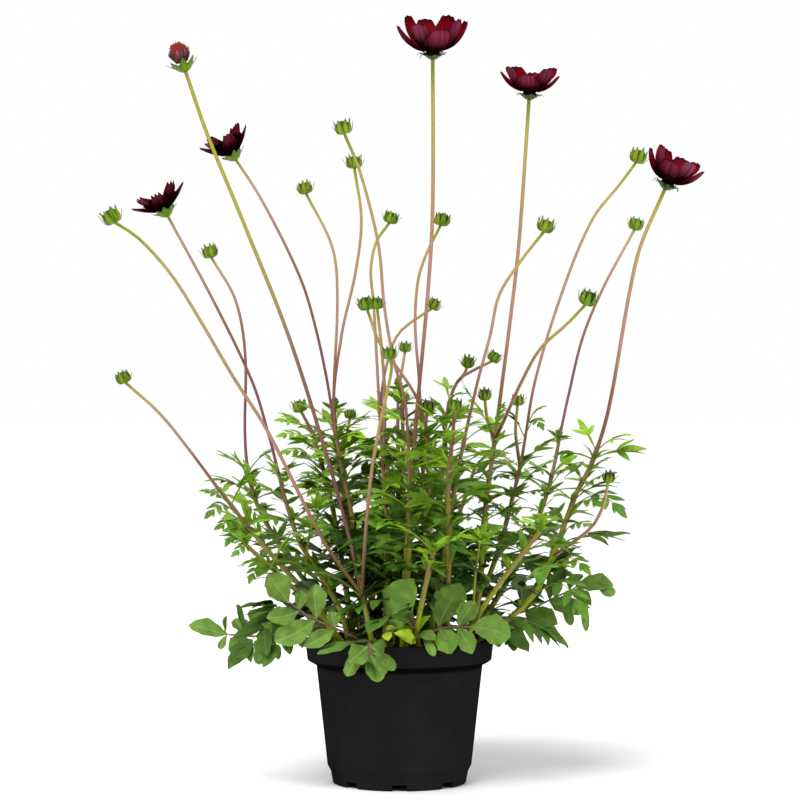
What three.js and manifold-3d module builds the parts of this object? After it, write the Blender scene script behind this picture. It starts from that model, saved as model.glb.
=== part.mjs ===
// Potted chocolate flower: a clump of dark-red cosmos in a black nursery pot.
// Millimetres, +Z up. The origin is the middle of the pot's foot, on the ground.
// +X is to the viewer's right and +Y points away from the viewer, so -Y is the front.

import * as THREE from 'three';
import Module from 'manifold-3d';

const wasm = await Module();
wasm.setup();

// Driving dimensions of the pot. The wall leans out from the foot to the collar.
const RIM_RADIUS = 65;
const POT_HEIGHT = 99;
const WALL = 1.4;
const COLLAR_RADIUS = 63.5;
const COLLAR_BOTTOM = 86.4;
const BODY_TOP_RADIUS = 57.3;
const BODY_TOP = 83;
const BODY_BOTTOM_RADIUS = 49.7;
const BODY_BOTTOM = 12.5;
const FOOT_RADIUS = 46;
const FOOT_BAND_TOP = 8;
const FOOT_BAND_RADIUS = 47.6;
const FOOT_RING_INNER = 41.5;
const HUB_RADIUS = 13;
const BASE_RAISE = 4.2;
const BASE_THICKNESS = 1.6;
const POT_SEGMENTS = 28;
const NOTCH_COUNT = 8;
const NOTCH_WIDTH = 10;
const NOTCH_HEIGHT = 4;
const DRAIN_COUNT = 4;
const DRAIN_RADIUS = 4;
const DRAIN_CIRCLE = 28;

// Soil, and the holes that the stems stand in.
const SOIL_TOP = 84;
const SOIL_DOME = 1.6;
const SOIL_GAP = 0.5;
const STEM_START = SOIL_TOP + SOIL_DOME;
const STEM_DEPTH = 12;
const HOLE_DEPTH = 13.5;
const HOLE_GAP = 0.95;

// Stems, leaves and heads.
const STEM_SIDES = 4;
const RING_STEP = 10;
const STEM_BOW = 0.9;
const LEAFY_RADIUS = 2.1;
const BLOOM_STALK_RADIUS = 1.35;
const BUD_STALK_RADIUS = 0.95;
const BLADE = 0.9;
const RACHIS_HALF_WIDTH = 0.8;
const UPRIGHT_FOOT = 24;
const LEAF_CLEARANCE = 0.45;
const LEAF_TRIES = 9;
const STEM_HEIGHT = 0;
const LONG_LEAF = 56;
const BUD_SIDES = 8;
const CALYX_SIDES = 12;
const PETAL_COUNT = 8;
const PETAL_SEAT = 4;
const WITHERED_COUNT = 6;
const PETAL_RING = 4.6;
const PETAL_ROOT = 1.6;
const PETAL_BROADEST = 0.6;
const PETAL_TEETH = [[0.88, -0.7], [0.93, -0.36], [1, 0], [0.93, 0.36], [0.88, 0.7]];
const CALYX_SIZE = 0.8;
const INNER_LIFT = 1.3;
const INNER_PITCH = 9;

const UP = new THREE.Vector3(0, 0, 1);
const AWAY = new THREE.Vector3(0, 1, 0);
const DEGREE = Math.PI / 180;

const COLOURS = {
  pot: new THREE.MeshStandardMaterial({ color: 0x151516, roughness: 0.55, metalness: 0 }),
  soil: new THREE.MeshStandardMaterial({ color: 0x2c2019, roughness: 1, metalness: 0 }),
  shoot: new THREE.MeshStandardMaterial({ color: 0x5d8a36, roughness: 0.6, metalness: 0 }),
  basal: new THREE.MeshStandardMaterial({ color: 0x6a9a52, roughness: 0.6, metalness: 0 }),
  yellow: new THREE.MeshStandardMaterial({ color: 0xb5d400, roughness: 0.6, metalness: 0 }),
  petal: new THREE.MeshStandardMaterial({ color: 0x4a0612, roughness: 0.5, metalness: 0 }),
  disc: new THREE.MeshStandardMaterial({ color: 0x2a0a0c, roughness: 0.8, metalness: 0 }),
  spent: new THREE.MeshStandardMaterial({ color: 0x8a2a18, roughness: 0.8, metalness: 0 })
};

// A row of numbers from 0 to 1 that is the same each time for the same seed.
function seededDraws(seed) {
  let state = Math.imul(seed + 17, 2654435761) >>> 0;
  return () => {
    state = (Math.imul(state, 1664525) + 1013904223) >>> 0;
    return state / 4294967296;
  };
}

// A closed solid from its points and its triangles.
function solid(points, triangles) {
  const mesh = new wasm.Mesh({
    numProp: 3,
    vertProperties: new Float32Array(points.flatMap(p => [p.x, p.y, p.z])),
    triVerts: new Uint32Array(triangles.flat())
  });
  return new wasm.Manifold(mesh);
}

function joined(solids) {
  return solids.reduce((sum, next) => sum.add(next));
}

function geometryOf(manifold) {
  const mesh = manifold.getMesh();
  const geometry = new THREE.BufferGeometry();
  geometry.setAttribute('position', new THREE.BufferAttribute(mesh.vertProperties, 3));
  geometry.setIndex(new THREE.BufferAttribute(mesh.triVerts, 1));
  geometry.computeVertexNormals();
  return geometry;
}

// A three.js geometry as a solid, with its shared corners merged.
function solidOf(geometry) {
  const flat = geometry.index ? geometry.toNonIndexed() : geometry;
  const places = flat.getAttribute('position');
  const seen = new Map();
  const points = [];
  const corners = [];
  for (let i = 0; i < places.count; i += 1) {
    const point = new THREE.Vector3().fromBufferAttribute(places, i);
    const key = point.toArray().map(value => Math.round(value * 1e4)).join();
    if (!seen.has(key)) {
      seen.set(key, points.length);
      points.push(point);
    }
    corners.push(seen.get(key));
  }
  const triangles = [];
  for (let i = 0; i < corners.length; i += 3) {
    const [a, b, c] = corners.slice(i, i + 3);
    if (a !== b && b !== c && c !== a) {
      triangles.push([a, b, c]);
    }
  }
  return solid(points, triangles);
}

// Rings of points joined one to the next, closed by a fan to a point at each end.
function skin(rings, first, last) {
  const sides = rings[0].length;
  const points = [...rings.flat(), first, last];
  const firstAt = rings.length * sides;
  const triangles = [];
  for (let k = 0; k < sides; k += 1) {
    const next = (k + 1) % sides;
    triangles.push([firstAt, next, k]);
    for (let r = 0; r + 1 < rings.length; r += 1) {
      const low = r * sides;
      const high = low + sides;
      triangles.push([low + k, low + next, high + next]);
      triangles.push([low + k, high + next, high + k]);
    }
    const top = (rings.length - 1) * sides;
    triangles.push([firstAt + 1, top + k, top + next]);
  }
  return solid(points, triangles);
}

// A ring round an axis. radiusOf and heightOf may change from corner to corner.
function ring(centre, axis, sides, radiusOf, heightOf = () => 0) {
  const across = new THREE.Vector3().crossVectors(AWAY, axis).normalize();
  const along = new THREE.Vector3().crossVectors(axis, across);
  return Array.from({ length: sides }, (_, k) => {
    const turn = (2 * Math.PI * k) / sides;
    return centre.clone()
      .addScaledVector(across, Math.cos(turn) * radiusOf(k))
      .addScaledVector(along, Math.sin(turn) * radiusOf(k))
      .addScaledVector(axis, heightOf(k));
  });
}

// The way a stem takes: its place across the view follows hand-set points, one for each bend,
// and its depth goes from the foot's to the head's, a little faster at first.
class Stalk {
  constructor(start, headDepth, front) {
    this.start = start;
    this.headDepth = headDepth;
    this.front = [[start.x, start.z], ...front];
    this.bottom = start.z;
    this.top = front[front.length - 1][1];
  }

  slope(k) {
    const before = this.front[Math.max(k - 1, 0)];
    const after = this.front[Math.min(k + 1, this.front.length - 1)];
    return (after[0] - before[0]) / (after[1] - before[1]);
  }

  across(z) {
    let k = 0;
    while (k < this.front.length - 2 && z > this.front[k + 1][1]) {
      k += 1;
    }
    const [x0, z0] = this.front[k];
    const [x1, z1] = this.front[k + 1];
    const span = z1 - z0;
    const t = (z - z0) / span;
    const stay = (1 + 2 * t) * (1 - t) ** 2 * x0 + t * t * (3 - 2 * t) * x1;
    return stay + span * t * (1 - t) * ((1 - t) * this.slope(k) - t * this.slope(k + 1));
  }

  at(z) {
    const part = (z - this.bottom) / (this.top - this.bottom);
    const depth = this.start.y + (this.headDepth - this.start.y) * part * (1.25 - 0.25 * part);
    return new THREE.Vector3(this.across(z), depth, z);
  }

  directionAt(z) {
    const low = Math.max(z - 1, this.bottom);
    const high = Math.min(z + 1, this.top);
    return this.at(high).sub(this.at(low)).normalize();
  }
}

// How far a stalk bows out from the straight way between two heights.
function bow(stalk, low, high) {
  const from = stalk.at(low);
  const to = stalk.at(high);
  return Math.max(...[0.25, 0.5, 0.75].map(
    part => from.clone().lerp(to, part).distanceTo(stalk.at(low + (high - low) * part))
  ));
}

// The heights at which a stem has a ring: its ends, its forks, and between them as few as keep it
// near its curve.
function ringHeights(stalk, forks) {
  const heights = [stalk.bottom];
  for (const goal of [...forks, stalk.top]) {
    let low = heights[heights.length - 1];
    for (let z = low + RING_STEP; z < goal; z += RING_STEP) {
      if (bow(stalk, low, z) > STEM_BOW) {
        low = z - RING_STEP;
        heights.push(low);
      }
    }
    heights.push(goal);
  }
  return heights;
}

// A stem of changing radius along a stalk. sunk is how deep it stands straight down in the soil.
function stemSolid(stalk, radiusAt, sunk, forks) {
  const heights = ringHeights(stalk, forks);
  const rings = heights.map(z => ring(stalk.at(z), stalk.directionAt(z), STEM_SIDES, () => radiusAt(z)));
  let foot = stalk.at(stalk.bottom);
  if (sunk > 0) {
    rings[0] = ring(foot, UP, STEM_SIDES, () => radiusAt(stalk.bottom));
    foot = foot.clone().setZ(stalk.bottom - sunk);
    rings.unshift(ring(foot, UP, STEM_SIDES, () => radiusAt(stalk.bottom)));
  }
  return skin(rings, foot, stalk.at(stalk.top));
}

// A thin blade from a flat sheet of triangles: each point has its place and the way it faces.
function blade(points, facing, triangles, thickness) {
  const half = thickness / 2;
  const count = points.length;
  const above = points.map((p, k) => p.clone().addScaledVector(facing[k], half));
  const below = points.map((p, k) => p.clone().addScaledVector(facing[k], -half));
  const edges = new Map();
  const faces = [];
  for (const [a, b, c] of triangles) {
    faces.push([a, b, c], [count + a, count + c, count + b]);
    for (const [from, to] of [[a, b], [b, c], [c, a]]) {
      edges.set(`${from} ${to}`, [from, to]);
    }
  }
  for (const [from, to] of edges.values()) {
    if (!edges.has(`${to} ${from}`)) {
      faces.push([from, count + from, count + to], [from, count + to, to]);
    }
  }
  return solid([...above, ...below], faces);
}

// A flat sheet in leaf coordinates: s runs along the midrib and v across it.
class Sheet {
  constructor() {
    this.points = [];
    this.triangles = [];
  }

  point(s, v) {
    this.points.push([s, v]);
    return this.points.length - 1;
  }

  triangle(a, b, c) {
    const [p, q, r] = [a, b, c].map(k => this.points[k]);
    const turn = (q[0] - p[0]) * (r[1] - p[1]) - (r[0] - p[0]) * (q[1] - p[1]);
    this.triangles.push(turn > 0 ? [a, b, c] : [a, c, b]);
  }

  // A leaflet on the edge from point a to point b, pointing at an angle from the midrib.
  // widths lists its half widths along it; an even spread of them ends in the tip.
  leaflet(a, b, length, angle, widths, ribbed) {
    const [sa, va] = this.points[a];
    const [sb, vb] = this.points[b];
    const s0 = (sa + sb) / 2;
    const v0 = (va + vb) / 2;
    const along = [Math.cos(angle), Math.sin(angle)];
    const place = (part, side) => this.point(
      s0 + along[0] * part * length - along[1] * side,
      v0 + along[1] * part * length + along[0] * side
    );
    let row = [a, null, b];
    const leftIsA = along[0] * (va - v0) - along[1] * (sa - s0) > 0;
    if (!leftIsA) {
      row = [b, null, a];
    }
    widths.forEach((width, k) => {
      const part = (k + 1) / (widths.length + 1);
      const next = [place(part, width), ribbed ? place(part, 0) : null, place(part, -width)];
      this.band(row, next);
      row = next;
    });
    const tip = place(1, 0);
    if (row[1] === null) {
      this.triangle(row[0], row[2], tip);
    } else {
      this.triangle(row[0], row[1], tip);
      this.triangle(row[1], row[2], tip);
    }
  }

  // A pointed lobe with one shoulder, on the side towards the leaf's foot.
  lobe(a, b, length, angle, width) {
    const along = [Math.cos(angle) * length, Math.sin(angle) * length];
    const out = (Math.sign(angle) * width) / length;
    const [sa, va] = this.points[a];
    const [sb, vb] = this.points[b];
    const shoulder = this.point(sa + 0.45 * along[0] - along[1] * out,
      va + 0.45 * along[1] + along[0] * out);
    const tip = this.point(sb + along[0], vb + along[1]);
    this.triangle(a, b, tip);
    this.triangle(a, tip, shoulder);
  }

  // The band between two rows of left, rib and right points, where a row may have no rib.
  band(row, next) {
    if (row[1] === null && next[1] === null) {
      this.triangle(row[0], row[2], next[2]);
      this.triangle(row[0], next[2], next[0]);
    } else if (row[1] === null) {
      this.triangle(row[0], row[2], next[1]);
      this.triangle(row[0], next[1], next[0]);
      this.triangle(row[2], next[2], next[1]);
    } else {
      for (const [near, far] of [[0, 1], [1, 2]]) {
        this.triangle(row[near], row[far], next[far]);
        this.triangle(row[near], next[far], next[near]);
      }
    }
  }
}

// A pinnate leaf: a narrow rachis, leaflets in pairs on it and one at its end. pairs lists where
// each pair stands, as a part of the length, and its leaflets' size. rows is the number of steps
// that the bare rachis takes to the first pair. A fine leaf has round leaflets, others have lobes.
function pinnateSheet({ length, rows, pairs, endAt, endWidths, fine }) {
  const sheet = new Sheet();
  const w = RACHIS_HALF_WIDTH;
  const across = s => [sheet.point(s, w), null, sheet.point(s, -w)];
  let row = across(0);
  const step = s => {
    const next = across(s);
    sheet.band(row, next);
    row = next;
  };
  for (let k = 1; k < rows; k += 1) {
    step((pairs[0].at * length * k) / rows);
  }
  for (const pair of pairs) {
    step(pair.at * length);
    const low = row;
    step(pair.at * length + pair.root);
    if (fine) {
      sheet.leaflet(low[0], row[0], pair.left, pair.angle, pair.widths, false);
      sheet.leaflet(low[2], row[2], pair.right, -pair.angle, pair.widths, false);
    } else {
      sheet.lobe(low[0], row[0], pair.left, pair.angle, pair.width);
      sheet.lobe(low[2], row[2], pair.right, -pair.angle, pair.width);
    }
  }
  if (fine) {
    step(endAt * length);
  }
  sheet.leaflet(row[0], row[2], (1 - endAt) * length, 0, endWidths, fine);
  return sheet;
}

// An arched midrib in one upright plane: it sets out at a pitch and bends down evenly.
function archedRib(start, azimuth, pitch, bend) {
  const out = new THREE.Vector3(Math.cos(azimuth), Math.sin(azimuth), 0);
  return s => {
    const now = pitch - bend * s;
    const run = (Math.sin(pitch) - Math.sin(now)) / bend;
    const rise = (Math.cos(now) - Math.cos(pitch)) / bend;
    const place = start.clone().addScaledVector(out, run).addScaledVector(UP, rise);
    const along = out.clone().multiplyScalar(Math.cos(now)).addScaledVector(UP, Math.sin(now));
    return { place, along, heading: out };
  };
}

// A midrib along a curve through hand-set points. Its upright foot faces the way that the leaf
// sets out above it.
function routedRib(route, length) {
  const curve = new THREE.CatmullRomCurve3(route.map(p => new THREE.Vector3(...p)));
  curve.arcLengthDivisions = 60;
  return s => {
    const part = Math.min(s / length, 1);
    const leaning = Math.max(part, Math.min(UPRIGHT_FOOT / length, 1));
    const heading = curve.getTangentAt(leaning);
    return { place: curve.getPointAt(part), along: curve.getTangentAt(part), heading };
  };
}

// A sheet laid along a midrib and thickened. droop lowers it away from the midrib.
function leafSolid(sheet, rib, roll, droop, thickness) {
  const points = [];
  const facing = [];
  for (const [s, v] of sheet.points) {
    const { place, along, heading } = rib(s);
    const side = new THREE.Vector3().crossVectors(UP, heading).normalize();
    side.applyAxisAngle(along, roll);
    const normal = new THREE.Vector3().crossVectors(along, side).normalize();
    points.push(place.addScaledVector(side, v).addScaledVector(normal, -droop * Math.abs(v)));
    facing.push(normal);
  }
  return blade(points, facing, sheet.triangles, thickness);
}

// The pot's wall, collar and base. The base stands on a ring and a middle hub, and is cut with
// notches and drainage holes.
function potSolid() {
  const floor = BASE_RAISE + BASE_THICKNESS;
  const profile = [
    [0, 0], [HUB_RADIUS, 0], [HUB_RADIUS + 1, BASE_RAISE],
    [FOOT_RING_INNER - 1, BASE_RAISE], [FOOT_RING_INNER, 0], [FOOT_RADIUS, 0],
    [FOOT_BAND_RADIUS, FOOT_BAND_TOP], [BODY_BOTTOM_RADIUS, BODY_BOTTOM],
    [BODY_TOP_RADIUS, BODY_TOP], [COLLAR_RADIUS, COLLAR_BOTTOM], [RIM_RADIUS, POT_HEIGHT],
    [RIM_RADIUS - WALL - 0.5, POT_HEIGHT], [COLLAR_RADIUS - WALL, COLLAR_BOTTOM + WALL],
    [BODY_TOP_RADIUS - WALL, BODY_TOP + WALL], [BODY_BOTTOM_RADIUS - WALL, BODY_BOTTOM],
    [FOOT_BAND_RADIUS - WALL - 1, floor], [0, floor]
  ];
  const turned = new THREE.LatheGeometry(profile.map(p => new THREE.Vector2(...p)), POT_SEGMENTS);
  turned.rotateX(90 * DEGREE);
  let pot = solidOf(turned);
  for (let k = 0; k < NOTCH_COUNT; k += 1) {
    const notch = new THREE.BoxGeometry(NOTCH_WIDTH, 10, 2 * NOTCH_HEIGHT);
    notch.translate(0, -(FOOT_RADIUS + FOOT_RING_INNER) / 2, 0);
    notch.rotateZ((k * 2 * Math.PI) / NOTCH_COUNT);
    pot = pot.subtract(solidOf(notch));
  }
  for (let k = 0; k < DRAIN_COUNT; k += 1) {
    const drain = new THREE.CylinderGeometry(DRAIN_RADIUS, DRAIN_RADIUS, 3 * floor, 6);
    drain.rotateX(90 * DEGREE);
    drain.translate(DRAIN_CIRCLE, 0, floor);
    drain.rotateZ(((k + 0.5) * 2 * Math.PI) / DRAIN_COUNT);
    pot = pot.subtract(solidOf(drain));
  }
  return pot;
}

// The soil fills the pot to a low uneven dome, with a hole for each stem.
function soilSolid(holes) {
  const draw = seededDraws(5);
  const slope = (BODY_TOP_RADIUS - BODY_BOTTOM_RADIUS) / (BODY_TOP - BODY_BOTTOM);
  const wallAt = z => BODY_BOTTOM_RADIUS - WALL - SOIL_GAP + (z - BODY_BOTTOM) * slope;
  const level = (radius, z, rough) => ring(
    new THREE.Vector3(0, 0, z), UP, POT_SEGMENTS, () => radius, () => (draw() - 0.5) * rough
  );
  const bottom = BASE_RAISE + BASE_THICKNESS + SOIL_GAP;
  const rings = [
    level(FOOT_BAND_RADIUS - WALL - 2.4, bottom, 0),
    level(wallAt(BODY_BOTTOM), BODY_BOTTOM, 0),
    level(wallAt(SOIL_TOP - 2), SOIL_TOP - 2, 0),
    level(wallAt(SOIL_TOP) - 2, SOIL_TOP, 0.8),
    level(wallAt(SOIL_TOP) * 0.55, SOIL_TOP + SOIL_DOME * 0.6, 1.2)
  ];
  const low = new THREE.Vector3(0, 0, bottom);
  const high = new THREE.Vector3(0, 0, SOIL_TOP + SOIL_DOME);
  return holes.reduce((soil, hole) => soil.subtract(hole), skin(rings, low, high));
}

// A closed bud: a green ball whose pointed scales stand up round its top.
function budSolid(base, axis, size) {
  const up = height => base.clone().addScaledVector(axis, height * size);
  const tip = k => k % 2 === 0;
  const rings = [
    ring(up(3.9), axis, BUD_SIDES, () => 5.5 * size),
    ring(up(9), axis, BUD_SIDES, k => (tip(k) ? 3.9 : 4.2) * size, k => (tip(k) ? 1.6 : -0.6) * size)
  ];
  return skin(rings, up(-0.6), up(7.6));
}

// The green cup under an open flower, with its scales pressed to the petals.
function calyxSolid(base, axis, size) {
  const up = height => base.clone().addScaledVector(axis, height * size);
  const tip = k => k % 2 === 0;
  const rings = [
    ring(up(2.6), axis, CALYX_SIDES, () => 4.4 * size),
    ring(up(4.6), axis, CALYX_SIDES, k => (tip(k) ? 6.6 : 5.2) * size, k => (tip(k) ? 0.5 : -0.5) * size)
  ];
  return skin(rings, up(-1.4), up(4.2));
}

// A flower's petals as one sheet: a small round middle, and petals that each widen from its edge
// to three teeth. Each point keeps which petal it is on, or none in the middle.
function flowerSheet(bloom) {
  const sheet = { points: [], triangles: [] };
  const point = (petal, s, v) => sheet.points.push({ petal, s, v }) - 1;
  const half = bloom.petalWidth / 2;
  const middle = point(-1, 0, 0);
  const roots = [];
  for (let k = 0; k < PETAL_COUNT; k += 1) {
    roots.push([point(k, 0, -PETAL_ROOT), point(k, 0, PETAL_ROOT)]);
  }
  roots.forEach(([right, left], k) => {
    const after = roots[(k + 1) % PETAL_COUNT][0];
    sheet.triangles.push([middle, right, left], [middle, left, after]);
    const [r, rib, l] = [-half, 0, half].map(v => point(k, PETAL_BROADEST, v));
    const edge = PETAL_TEETH.map(([s, v]) => point(k, s, v * half));
    sheet.triangles.push(
      [left, right, rib], [left, rib, l], [right, r, rib],
      [r, edge[0], edge[1]], [r, edge[1], rib], [rib, edge[1], edge[2]],
      [rib, edge[2], edge[3]], [rib, edge[3], l], [l, edge[3], edge[4]]
    );
  });
  return sheet;
}

// The way out from a head's axis at a turn round it.
function outFrom(axis, turn) {
  const across = new THREE.Vector3().crossVectors(AWAY, axis).normalize();
  return across.applyAxisAngle(axis, turn);
}

// The petals of one bloom. Every second one lies above its neighbours and stands up more.
function petalsSolid(base, axis, bloom) {
  const draw = seededDraws(bloom.seed);
  const seat = base.clone().addScaledVector(axis, PETAL_SEAT);
  const petals = Array.from({ length: PETAL_COUNT }, (_, k) => ({
    out: outFrom(axis, bloom.turn * DEGREE + (2 * Math.PI * k) / PETAL_COUNT),
    length: bloom.length * (0.93 + 0.14 * draw()),
    pitch: (bloom.pitch + 5 * (draw() - 0.5) + (k % 2 ? INNER_PITCH : 0)) * DEGREE,
    lift: 0.6 + (k % 2 ? INNER_LIFT : 0)
  }));
  const { points, triangles } = flowerSheet(bloom);
  const places = [];
  const facing = [];
  for (const { petal, s, v } of points) {
    if (petal < 0) {
      places.push(seat.clone().addScaledVector(axis, 1.2));
      facing.push(axis);
      continue;
    }
    const { out, length, pitch, lift } = petals[petal];
    const mean = pitch + bloom.curl * DEGREE * 0.5 * s;
    const now = pitch + bloom.curl * DEGREE * s;
    const run = PETAL_RING + s * length * Math.cos(mean);
    const rise = lift + s * length * Math.sin(mean);
    const normal = axis.clone().multiplyScalar(Math.cos(now)).addScaledVector(out, -Math.sin(now));
    places.push(seat.clone().addScaledVector(out, run).addScaledVector(axis, rise)
      .addScaledVector(new THREE.Vector3().crossVectors(axis, out), v)
      .addScaledVector(normal, bloom.cup * (2 * v / bloom.petalWidth) ** 2));
    facing.push(normal);
  }
  return blade(places, facing, triangles, BLADE);
}

// A domed centre of small florets: every second corner of each ring stands proud.
function domeSolid(base, axis, from, radius, height, sides) {
  const up = rise => base.clone().addScaledVector(axis, from + rise * height);
  const bump = shift => k => ((k + shift) % 2 ? 1.04 : 0.88);
  const rounded = (rise, part, shift) => ring(up(rise), axis, sides, k => radius * part * bump(shift)(k));
  const rings = [rounded(0, 0.72, 0), rounded(0.3, 1, 1), rounded(0.72, 0.78, 0)];
  return skin(rings, up(0), up(1));
}

// The heads. bloom gives a flower's size, how its ring of petals is turned and how far they stand
// open, and bud a bud's size.
const bud = (size = 1) => ({ kind: 'bud', size });
const spentHead = lean => ({ kind: 'spent', size: 1.15, lean });
const bloom = (name, seed, turn, lean, length, petalWidth, pitch, curl, cup) => (
  { kind: 'bloom', size: CALYX_SIZE, name, seed, turn, lean, length, petalWidth, pitch, curl, cup }
);

// The shoots that flower. A stalk stands on its foot in the soil, or leaves the shoot's first
// stalk at a height. front lists the places that it bends through, across the view and up;
// head is its head's depth. leaves says where the first stalk carries its leaf pairs.
const FLOWERING_SHOOTS = [
  {
    leaves: { low: 125, high: 240, pairs: 2, turn: 70, length: 54 },
    stalks: [
      { foot: [2, -22], head: -80, front: [[3, 128], [10, 236], [19, 336], [22, 390], [22, 489]],
        bears: bloom('bloom_1', 11, 13, [0, -0.3], 25.5, 18, 6, 78, 3) }
    ]
  },
  {
    leaves: { low: 130, high: 228, pairs: 2, turn: 10, length: 56 },
    stalks: [
      { foot: [41, -7], head: 30, front: [[54, 125], [59, 184], [66, 235], [79, 333], [84, 379], [91, 475]],
        bears: bloom('bloom_2', 23, -10, [0.06, -0.17], 21.5, 16, 8, 60, 2.6) },
      { from: 235, head: -95,
        front: [[72, 250], [82, 275], [94, 298], [110, 313], [122, 326]], bears: bud(1.05) },
      { from: 235, head: -30, front: [[60, 251], [58, 264]], bears: bud(0.8) }
    ]
  },
  {
    leaves: { low: 120, high: 228, pairs: 2, turn: 35, length: 56 },
    stalks: [
      { foot: [42, 7], head: -45,
        front: [[59, 100], [67, 106.5], [78, 114], [96, 134], [121, 199], [131, 219], [142, 255],
          [156, 338], [163, 368], [179, 406]],
        bears: bloom('bloom_3', 37, -12, [0.42, -0.2], 22.5, 16, 12, 72, 3) },
      { from: 156, head: -90, front: [[128, 176], [135, 192], [137, 210]], bears: bud(0.75) }
    ]
  },
  {
    leaves: { low: 130, high: 235, pairs: 2, turn: 50, length: 54 },
    stalks: [
      { foot: [-20, 26], head: 90,
        front: [[-28, 129], [-42, 211], [-52, 278], [-66, 336], [-79, 368], [-102, 412], [-119, 438]],
        bears: bloom('bloom_4', 41, 10, [-0.54, -0.05], 20, 11, 30, 24, 2) }
    ]
  },
  {
    leaves: { low: 130, high: 205, pairs: 2, turn: 20, length: 56 },
    stalks: [
      { foot: [-33, 10], head: 30,
        front: [[-41, 117], [-55, 141], [-72, 170], [-92, 241], [-103, 276], [-130, 332], [-163, 393]],
        bears: bloom('bloom_5', 53, 0, [-0.5, 0], 19.5, 11, 24, 20, 2) }
    ]
  },
  {
    leaves: { low: 128, high: 131, pairs: 1, turn: 0, length: 50 },
    stalks: [
      { foot: [-16, -33], head: -30,
        front: [[-23, 121], [-35, 174], [-48, 221], [-75, 306], [-106, 384], [-131, 445], [-145.5, 487]],
        bears: spentHead([-0.34, 0]) },
      { from: 131, head: -115,
        front: [[-50, 167], [-88, 244], [-109, 278], [-134, 322], [-150, 347], [-170, 369], [-184, 378]],
        bears: bud(1.1) },
      { from: 131, head: -130,
        front: [[-24, 155], [-19, 211], [-13, 246], [-5, 283], [-6, 290]], bears: bud(0.85) }
    ]
  },
  {
    leaves: { low: 125, high: 212, pairs: 2, turn: 60, length: 54 },
    stalks: [
      { foot: [-39, 19], head: 110,
        front: [[-58, 122], [-96, 178], [-107, 206], [-111, 237], [-112, 297], [-120, 337], [-138, 368]],
        bears: bud() }
    ]
  },
  {
    leaves: { low: 130, high: 245, pairs: 2, turn: 0, length: 56 },
    stalks: [
      { foot: [-27, 36], head: 150,
        front: [[-28, 128], [-36, 177], [-43, 220], [-48, 257], [-46, 338], [-50, 377], [-70, 418]],
        bears: bud() },
      { from: 215, head: 92, front: [[-38, 240], [-36, 250]], bears: bud(0.75) }
    ]
  },
  {
    leaves: { low: 125, high: 225, pairs: 2, turn: 25, length: 52 },
    stalks: [
      { foot: [16, -39], head: -100,
        front: [[6, 129], [7, 183], [4, 260], [-4, 290], [-10, 325], [-14, 366], [-26, 413], [-36, 437]],
        bears: bud() }
    ]
  },
  {
    leaves: { low: 140, high: 245, pairs: 2, turn: 80, length: 54 },
    stalks: [
      { foot: [-19, 8], head: 50,
        front: [[-30, 165], [-46, 253], [-41, 308], [-31, 354], [-27, 391], [-32, 428]],
        bears: bud() }
    ]
  },
  {
    leaves: { low: 150, high: 212, pairs: 2, turn: 45, length: 52 },
    stalks: [
      { foot: [-10, -13], head: 20,
        front: [[-9, 167], [-14, 258], [-18, 330], [-20, 354], [-16, 374], [-7, 387]],
        bears: bud(0.9) },
      { from: 215, head: -45, front: [[-10, 263], [-12, 297], [-15, 325]], bears: bud(0.85) }
    ]
  },
  {
    leaves: { low: 140, high: 240, pairs: 2, turn: 0, length: 54 },
    stalks: [
      { foot: [15, 12], head: 30, front: [[17, 180], [14, 272], [11, 316], [13, 347], [19, 366], [29, 386]],
        bears: bud() }
    ]
  },
  {
    leaves: { low: 135, high: 245, pairs: 2, turn: 30, length: 54 },
    stalks: [
      { foot: [-6, 27], head: 75,
        front: [[-5, 178], [-13, 260], [-8, 293], [1, 313], [23, 329]], bears: bud(0.9) }
    ]
  },
  {
    leaves: { low: 140, high: 238, pairs: 2, turn: 55, length: 52 },
    stalks: [
      { foot: [23, -20], head: -20,
        front: [[20, 181], [19, 236], [13, 262], [1, 282], [-13, 301], [-22, 325]],
        bears: bud() },
      { from: 238, head: -38, front: [[18, 247], [19, 256]], bears: bud(0.85) }
    ]
  },
  {
    leaves: { low: 130, high: 250, pairs: 2, turn: 15, length: 54 },
    stalks: [
      { foot: [-1, 41], head: 120, front: [[0, 191], [-1, 263], [4, 299]], bears: bud(0.8) }
    ]
  },
  {
    leaves: { low: 125, high: 235, pairs: 2, turn: 75, length: 52 },
    stalks: [
      { foot: [27, -33], head: -85,
        front: [[27, 129], [38, 210], [51, 272], [60, 306], [66, 333], [80, 355], [95, 374]],
        bears: bud() }
    ]
  },
  {
    leaves: { low: 130, high: 216, pairs: 2, turn: 65, length: 54 },
    stalks: [
      { foot: [30, 19], head: 60,
        front: [[51, 116], [67, 151], [85, 217], [96, 277], [117, 344], [138, 393], [157, 417], [169, 433]],
        bears: bud(1.1) },
      { from: 217, head: 10, front: [[83, 227], [81, 242], [82, 260]], bears: bud(0.8) }
    ]
  },
  {
    leaves: { low: 125, high: 225, pairs: 2, turn: 5, length: 56 },
    stalks: [
      { foot: [33, 28], head: 150,
        front: [[63, 114], [102, 184], [123, 264], [135, 309], [151, 346], [176, 391]],
        bears: bud() }
    ]
  },
  {
    leaves: { low: 118, high: 192, pairs: 2, turn: 40, length: 56 },
    stalks: [
      { foot: [-42, -11], head: -50,
        front: [[-49, 113], [-91, 163], [-120, 200], [-142, 230], [-162, 255], [-184, 275]],
        bears: bud(0.9) }
    ]
  },
  {
    leaves: { low: 130, high: 238, pairs: 2, turn: 85, length: 54 },
    stalks: [
      { foot: [-31, 27], head: 80, front: [[-46, 178], [-62, 238], [-71, 255]], bears: bud(0.95) }
    ]
  },
  {
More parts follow.
